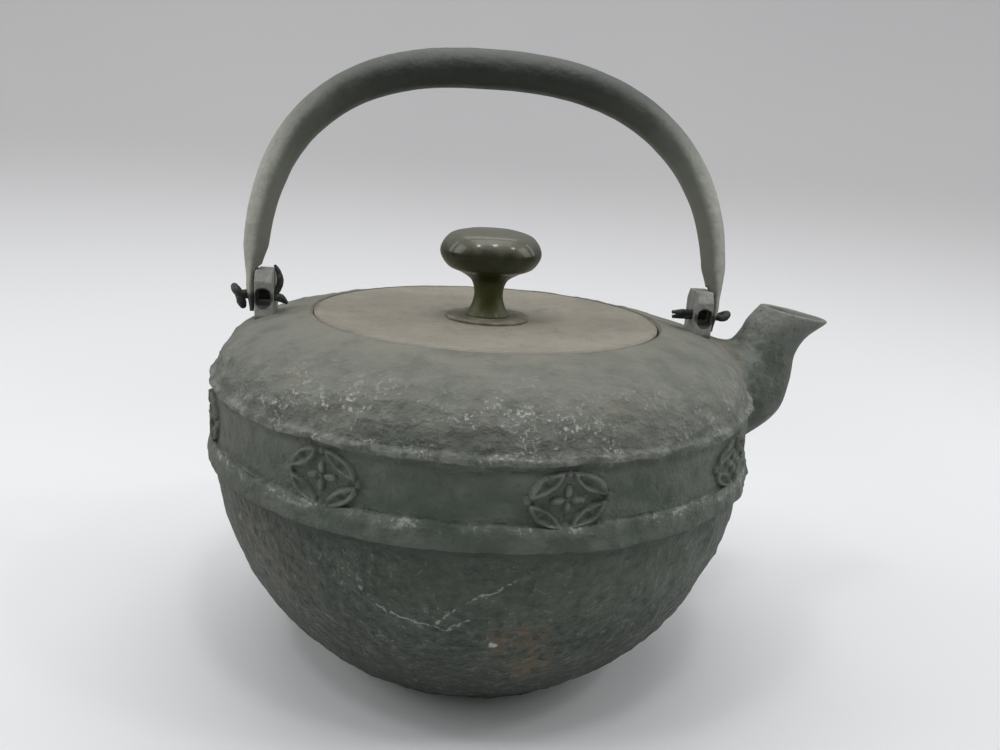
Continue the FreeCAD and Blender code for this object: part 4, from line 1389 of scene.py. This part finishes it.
handle = ridged_section()
handle_iron = handle_finish()
tab_middle = TAB_INNER + TAB_THICKNESS / 2
grow(
    handle, bail_tree(), finish=handle_iron, points=HANDLE_POINTS,
    half_span=tab_middle - HANDLE_LEG_INSET, rise=HANDLE_RISE, roundness=HANDLE_ROUNDNESS,
    skew=HANDLE_SKEW, pin_height=PIN_HEIGHT, taper_from=HANDLE_TAPER_FROM, taper_to=HANDLE_TAPER_TO,
    tab_shift=HANDLE_LEG_INSET, tab_thickness=TAB_THICKNESS, tab_radius=TAB_RADIUS,
    leg_thickness=HANDLE_LEG_THICKNESS, apex_thickness=HANDLE_APEX_THICKNESS,
    leg_width=HANDLE_LEG_WIDTH, apex_width=HANDLE_APEX_WIDTH,
)
tidy_normals(handle)
cut(handle, rod("lug_room", HANDLE_SWING, -TAB_INNER, TAB_INNER, PIN_HEIGHT))
cut(handle, rod("pin_bore", PIN_BORE, -BOWL_RADIUS, BOWL_RADIUS, PIN_HEIGHT))
clear_of_pins = fade(places(handle)[:, 2], PIN_HEIGHT + 8 * mm, PIN_HEIGHT + 24 * mm)
mark(handle, "skin", clear_of_pins)
grow(
    handle, cast_skin, finish=handle_iron, seed=11.0,
    lump=14 * mm, lump_height=0.6 * mm, grain=4 * mm, grain_height=0.15 * mm,
)
handle.data.shade_smooth()
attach(handle, "handle")
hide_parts("handle")


# Lid: a shallow scooped disc that lies loose in the mouth, with a locating ring underneath.
# It is a thinner iron casting, smoother than the vessel and grey brown with dust.

LID_DISH = 1.6 * mm
LID_THICKNESS = 3.2 * mm
LID_BEAD = 0.22 * mm
LID_BEAD_IN = 1.2 * mm
LID_BEAD_WIDTH = 0.9 * mm
LID_EDGE_ROUND = 0.6 * mm
LID_RING_OUTER = MOUTH_RADIUS - 0.8 * mm
LID_RING_INNER = LID_RING_OUTER - 2.5 * mm
LID_AROUND = 240
LID_ROWS = 58
LID_OFF_CENTRE = (-0.26 * mm, 0.12 * mm, 0)
LID_CALM_FROM = 50 * mm
MOULD_RING_SPACING = 2.3 * mm

LID_DUST_DARK = (0.250, 0.233, 0.194)
LID_DUST_PALE = (0.312, 0.291, 0.242)
LID_WORN = (0.150, 0.150, 0.132)
LID_WARM = (0.270, 0.215, 0.165)
LID_PIT = (0.07, 0.068, 0.055)

LID_MIDDLE = RIM - LID_DISH
LID_UNDER = LID_MIDDLE - LID_THICKNESS


def lid_outline():
    """From the middle of the underside, round the ring and the edge, to the middle of the top."""
    edge_r = LID_RADIUS - LID_EDGE_ROUND
    top_r = np.linspace(edge_r, 0, LID_ROWS)
    bead = LID_BEAD * np.exp(-(((top_r - edge_r + LID_BEAD_IN) / LID_BEAD_WIDTH) ** 2))
    top = np.column_stack((top_r, LID_MIDDLE + (LID_DISH - LID_BEAD) * (top_r / edge_r) ** 2 + bead))
    return outline(
        straight((0, LID_UNDER), (LID_RING_INNER, LID_UNDER), spacing=6 * mm),
        straight((LID_RING_INNER, LID_UNDER), (LID_RING_INNER, lid_low.z), (LID_RING_OUTER, lid_low.z)),
        straight((LID_RING_OUTER, lid_low.z), (LID_RING_OUTER, LEDGE), (LID_RADIUS, LEDGE)),
        arc((edge_r, RIM - LID_EDGE_ROUND - LID_BEAD), LID_EDGE_ROUND, 0, 90, spacing=0.2 * mm),
        top,
    )


def spots(place, size, reach):
    """Round spots on a loose grid of the given size, each reaching over a share of it."""
    distance = place.node("ShaderNodeTexVoronoi", None, {"Vector": place, "Scale": 1 / size}, "Distance")
    return step(distance, reach, reach * 0.3)


def lid_finish():
    """Grey brown iron under a film of dust, with faint rings from the turned mould."""
    material, place = new_finish("dusty_lid")
    radius = from_axis(place)
    patches = clouds(place, 24 * mm, 5, 0.6)
    fine = clouds(place, 3.5 * mm, 5, 0.65)
    worn = step(clouds(place, 11 * mm, 5, 0.65), 0.55, 0.72)
    warm = step(clouds(place, 20 * mm, 3), 0.55, 0.7)
    pits = spots(place, 2.0 * mm, 0.30) * step(clouds(place, 8 * mm), 0.52, 0.64)
    skin = overlaid(
        mix(step(patches * 0.6 + fine * 0.4, 0.36, 0.64), LID_DUST_DARK, LID_DUST_PALE),
        (worn, 0.4, LID_WORN),
        (warm, 0.3, LID_WARM),
        (pits, 0.5, LID_PIT),
    )
    rings = radius.math("SINE", radius * (2 * math.pi / MOULD_RING_SPACING)) * step(fine, 0.4, 0.7)
    relief = clouds(place, 3 * mm, 4, 0.6) * 0.32 * mm + rings * 0.012 * mm
    relief = relief + clouds(place, 0.7 * mm, 2) * 0.10 * mm - pits * 0.12 * mm
    lay_finish(material, skin, 0.72 + 0.18 * fine, relief, gloss=0.35)
    return material


lid = turned("kettle_lid", lid_outline(), LID_AROUND)
lid.data.transform(Matrix.Translation(LID_OFF_CENTRE))
x, y, z = places(lid).T
mark(lid, "skin", (z > LEDGE) * (1 - 0.8 * fade(np.hypot(x, y), LID_CALM_FROM, LID_RADIUS)))
lid_iron = lid_finish()
grow(
    lid, cast_skin, finish=lid_iron, seed=13.0,
    lump=14 * mm, lump_height=0.3 * mm, grain=3 * mm, grain_height=0.08 * mm,
)
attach(lid, "lid")
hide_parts("lid")


# Knob: a mushroom of bronze with a waisted stem, brown green with age and polished by hands.
# Its shank goes through the lid and is hammered over against a backing washer underneath.

knob_low, knob_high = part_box("knob")
washer_low, washer_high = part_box("knob_washer")
backing_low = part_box("knob_backing_washer")[0]
KNOB_FOOT = washer_high.z
# Points up the knob's side, as (radius, height over its foot) in millimetres.
KNOB_SIDE = (
    (7.4, 0.0), (6.0, 2.2), (4.75, 7.2), (5.9, 11.4), (9.4, 13.9), (14.0, 16.0),
    (16.5, 20.6), (14.0, 25.6), (8.0, 27.8), (0.0, 28.2),
)
KNOB_ROWS = 70
KNOB_AROUND = 96
SHANK_RADIUS = 3 * mm
RIVET_RADIUS = 5 * mm
RIVET_SLOPE = 1 * mm
FOOT_RADIUS = KNOB_SIDE[0][0] * mm

OLIVE_DARK = (0.013, 0.017, 0.002)
OLIVE_PALE = (0.034, 0.040, 0.009)
KNOB_DUST = (0.200, 0.193, 0.155)
KNOB_STEM = (0.086, 0.098, 0.016)
KNOB_FOOT_DUST = (0.150, 0.146, 0.092)


def knob_outline():
    """From the rivet's middle, up the shank and the knob's side, to the middle of its top."""
    side = through(KNOB_SIDE, np.linspace(0, 1, KNOB_ROWS)) * mm + (0, KNOB_FOOT)
    side[-1, 0] = 0
    shank = straight(
        (0, knob_low.z),
        (RIVET_RADIUS - RIVET_SLOPE, knob_low.z),
        (RIVET_RADIUS, backing_low.z),
        (SHANK_RADIUS, backing_low.z),
        (SHANK_RADIUS, KNOB_FOOT),
        (FOOT_RADIUS, KNOB_FOOT),
        spacing=2 * mm,
    )
    return outline(shank, side)


def bronze_finish():
    """Old bronze: a dark olive skin, a grey film of dust on top, and a low polish."""
    material, place = new_finish("aged_bronze")
    height = part_of(place, "Z")
    patches = clouds(place, 6 * mm, 5, 0.6)
    fine = clouds(place, 1.5 * mm, 3)
    dusted = step(height + (patches - 0.5) * 4 * mm, knob_high.z - 8 * mm, knob_high.z - 2 * mm) * 0.75
    stem = step(height, KNOB_FOOT + 14 * mm, KNOB_FOOT + 8 * mm)
    foot = step(height + (patches - 0.5) * 2 * mm, KNOB_FOOT + 5 * mm, KNOB_FOOT)
    skin = mix(dusted, mix(step(patches, 0.34, 0.66), OLIVE_DARK, OLIVE_PALE), KNOB_DUST)
    skin = overlaid(skin, (stem, 0.6, KNOB_STEM), (foot, 0.7, KNOB_FOOT_DUST))
    relief = clouds(place, 2.5 * mm, 3, 0.6) * 0.12 * mm + fine * 0.02 * mm
    shine = 0.30 + 0.14 * patches + 0.15 * dusted + 0.2 * stem
    lay_finish(material, skin, shine, relief, metallic=0.2, gloss=0.35, polish=0.6 - 0.5 * stem)
    return material


knob = turned("kettle_knob", knob_outline(), KNOB_AROUND)
mark(knob, "skin", places(knob)[:, 2] > KNOB_FOOT + 1 * mm)
bronze = bronze_finish()
grow(
    knob, cast_skin, finish=bronze, seed=17.0,
    lump=9 * mm, lump_height=0.2 * mm, grain=3 * mm, grain_height=0.03 * mm,
)
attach(knob, "lid")
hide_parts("knob")


# Washers: a thin hand-cut disc between the knob and the lid, and a smaller one under the lid.
# Both are bronze, held by the knob's riveted shank. The upper one has a wavy edge.

WASHER_RADIUS = washer_high.x
WASHER_EDGE = 0.3 * mm
WASHER_UNDER_EDGE = 0.2 * mm
WASHER_AROUND = 120
WASHER_WAVES_FROM = FOOT_RADIUS + 2 * mm
WASHER_DARK = (0.168, 0.158, 0.112)
WASHER_PALE = (0.262, 0.246, 0.186)


def washer_outline():
    """From the middle of the underside, round a worn edge, to the middle of the top."""
    low = washer_low.z
    high = washer_high.z
    return outline(
        straight((0, low), (WASHER_RADIUS - WASHER_UNDER_EDGE, low)),
        straight((WASHER_RADIUS, low + WASHER_EDGE), (WASHER_RADIUS, high - WASHER_EDGE)),
        straight((WASHER_RADIUS - WASHER_EDGE, high), (0, high)),
    )


def washer_finish():
    """Bronze, paler than the knob and dull with dust."""
    material, place = new_finish("dusty_bronze")
    patches = clouds(place, 5 * mm, 5, 0.6)
    skin = mix(step(patches, 0.34, 0.66), WASHER_DARK, WASHER_PALE)
    relief = clouds(place, 1.8 * mm, 3, 0.6) * 0.08 * mm
    lay_finish(material, skin, 0.5 + 0.2 * patches, relief, metallic=0.15)
    return material


washer_bronze = washer_finish()
washer = turned("kettle_washer", washer_outline(), WASHER_AROUND)
x, y, _ = places(washer).T
mark(washer, "skin", fade(np.hypot(x, y), WASHER_WAVES_FROM, WASHER_RADIUS))
grow(
    washer, cast_skin, finish=washer_bronze, seed=19.0,
    lump=4 * mm, lump_height=1.5 * mm, grain=2 * mm, grain_height=0.1 * mm,
)
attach(washer, "lid")
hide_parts("knob_washer")
backing_mesh = frame["nodes"]["knob_backing_washer"].data
backing_mesh.materials.clear()
backing_mesh.materials.append(washer_bronze)


# Stage: a plain pale floor that sweeps up into a plain backdrop all round.
# The backdrop is seen but casts no shade, so the soft light reaches the kettle from every side.

FLOOR_RADIUS = 0.34
FLOOR_THICKNESS = 0.01
SWEEP_RADIUS = 0.46
SWEEP_SPACING = 0.03
BACKDROP_TOP = 1.3
BACKDROP_THICKNESS = np.array((0.01, -0.01))
# The backdrop's lower edge runs in just under the floor's, as (in from its edge, down from its top).
TUCKED_UNDER = ((0.04, 0.0005), (0.02, 0.0005))
STAGE_AROUND = 96

GROUND_DARK = (0.82, 0.825, 0.835)
GROUND_PALE = (0.87, 0.875, 0.885)
BACKDROP_DARK = (0.50, 0.495, 0.505)
BACKDROP_PALE = (0.54, 0.535, 0.54)
BACKDROP_FULL = 0.17


def stage_finish():
    """Matt paint, pale on the floor and greyer up the backdrop."""
    material, place = new_finish("pale_stage")
    faint = clouds(place, 0.3, 3)
    ground = mix(faint, GROUND_DARK, GROUND_PALE)
    wall = mix(faint, BACKDROP_DARK, BACKDROP_PALE)
    tone = mix(step(part_of(place, "Z"), 0.0, BACKDROP_FULL), ground, wall)
    matt = 0.85 + 0.1 * clouds(place, 0.2, 1)
    lay_finish(material, tone, matt, clouds(place, 0.05, 1) * 0.1 * mm, gloss=0.2)
    return material


stage_paint = stage_finish()
floor_side = ((0.0, -FLOOR_THICKNESS), (FLOOR_RADIUS, -FLOOR_THICKNESS), (FLOOR_RADIUS, 0.0), (0.0, 0.0))
floor = turned("floor", floor_side, STAGE_AROUND)
under_floor = [(FLOOR_RADIUS - inward, -down) for inward, down in TUCKED_UNDER]
sweep = arc((FLOOR_RADIUS, SWEEP_RADIUS), SWEEP_RADIUS, -90, 0, SWEEP_SPACING)
wall_top = [(FLOOR_RADIUS + SWEEP_RADIUS, BACKDROP_TOP)]
shell = np.vstack((under_floor, sweep, wall_top))
backdrop = turned("backdrop", np.vstack((shell + BACKDROP_THICKNESS, shell[::-1])), STAGE_AROUND)
floor.data.shade_flat()
for scenery in (floor, backdrop):
    scenery.data.materials.append(stage_paint)
for ray in ("visible_diffuse", "visible_glossy", "visible_transmission", "visible_shadow"):
    setattr(backdrop, ray, False)


# Light: one wide soft box overhead, a soft panel on each side, and an even grey sky.
# Three small lamps in a row in front give the knob its glints.
# The panels stand outside the backdrop, which lets their light through.

BOX_SIZE = 1.0
BOX_PLACE = (0, 0.12, 1.0)
BOX_WATTS = 5.2
PANEL_SIZE = 0.7
PANEL_AWAY = 0.95
PANEL_BACK = 0.05
PANEL_HEIGHT = 0.5
PANEL_WATTS = (4.0, 3.1)
GLINT_SIZE = 0.11
GLINT_ROW = (-0.37, 0.07, 0.62)
GLINT_FRONT = 0.35
GLINT_HEIGHT = 0.9
GLINT_WATTS = 0.8
LIT_POINT = (0, 0, 0.1)
SKY = 0.22
SKY_COLOUR = (0.97, 0.98, 1.0, 1)


def hang_lamp(size, watts, place, target):
    """A square soft lamp that faces its target."""
    lamp = bpy.data.lights.new("soft_box", "AREA")
    lamp.size = size
    lamp.energy = watts
    holder = bpy.data.objects.new("soft_box", lamp)
    holder.location = place
    holder.rotation_euler = (Vector(target) - Vector(place)).to_track_quat("-Z", "Y").to_euler()
    bpy.context.scene.collection.objects.link(holder)


hang_lamp(BOX_SIZE, BOX_WATTS, BOX_PLACE, (0, BOX_PLACE[1], 0))
for along_row in GLINT_ROW:
    hang_lamp(GLINT_SIZE, GLINT_WATTS, (along_row, -GLINT_FRONT, GLINT_HEIGHT), LIT_POINT)
for side, watts in zip((-1, 1), PANEL_WATTS):
    hang_lamp(PANEL_SIZE, watts, (side * PANEL_AWAY, PANEL_BACK, PANEL_HEIGHT), LIT_POINT)

world = bpy.data.worlds.new("studio")
world.use_nodes = True
background = world.node_tree.nodes["Background"]
background.inputs["Color"].default_value = SKY_COLOUR
background.inputs["Strength"].default_value = SKY
bpy.context.scene.world = world
bpy.context.scene.view_settings.view_transform = "Standard"


# Camera: close in front of the kettle and a little above its lid, looking down and rolled slightly.
# Its place, its lens and its turns, in degrees, are what the kettle's circles give for the photograph.

CAMERA_PLACE = (-21.8 * mm, -276.8 * mm, 166.2 * mm)
CAMERA_HEADING = 5.635
CAMERA_DOWN = 14.6
CAMERA_ROLL = 3.67
CAMERA_LENS = 30.6
CAMERA_SENSOR = 36.0
CAMERA_NEAREST = 0.01

camera = bpy.data.objects.new("camera", bpy.data.cameras.new("camera"))
camera.data.lens = CAMERA_LENS
camera.data.sensor_width = CAMERA_SENSOR
camera.data.clip_start = CAMERA_NEAREST
heading = Matrix.Rotation(math.radians(-CAMERA_HEADING), 4, "Z")
tilt = Matrix.Rotation(math.radians(90 - CAMERA_DOWN), 4, "X")
roll = Matrix.Rotation(math.radians(CAMERA_ROLL), 4, "Z")
camera.matrix_world = Matrix.Translation(CAMERA_PLACE) @ heading @ tilt @ roll
bpy.context.scene.collection.objects.link(camera)
bpy.context.scene.camera = camera
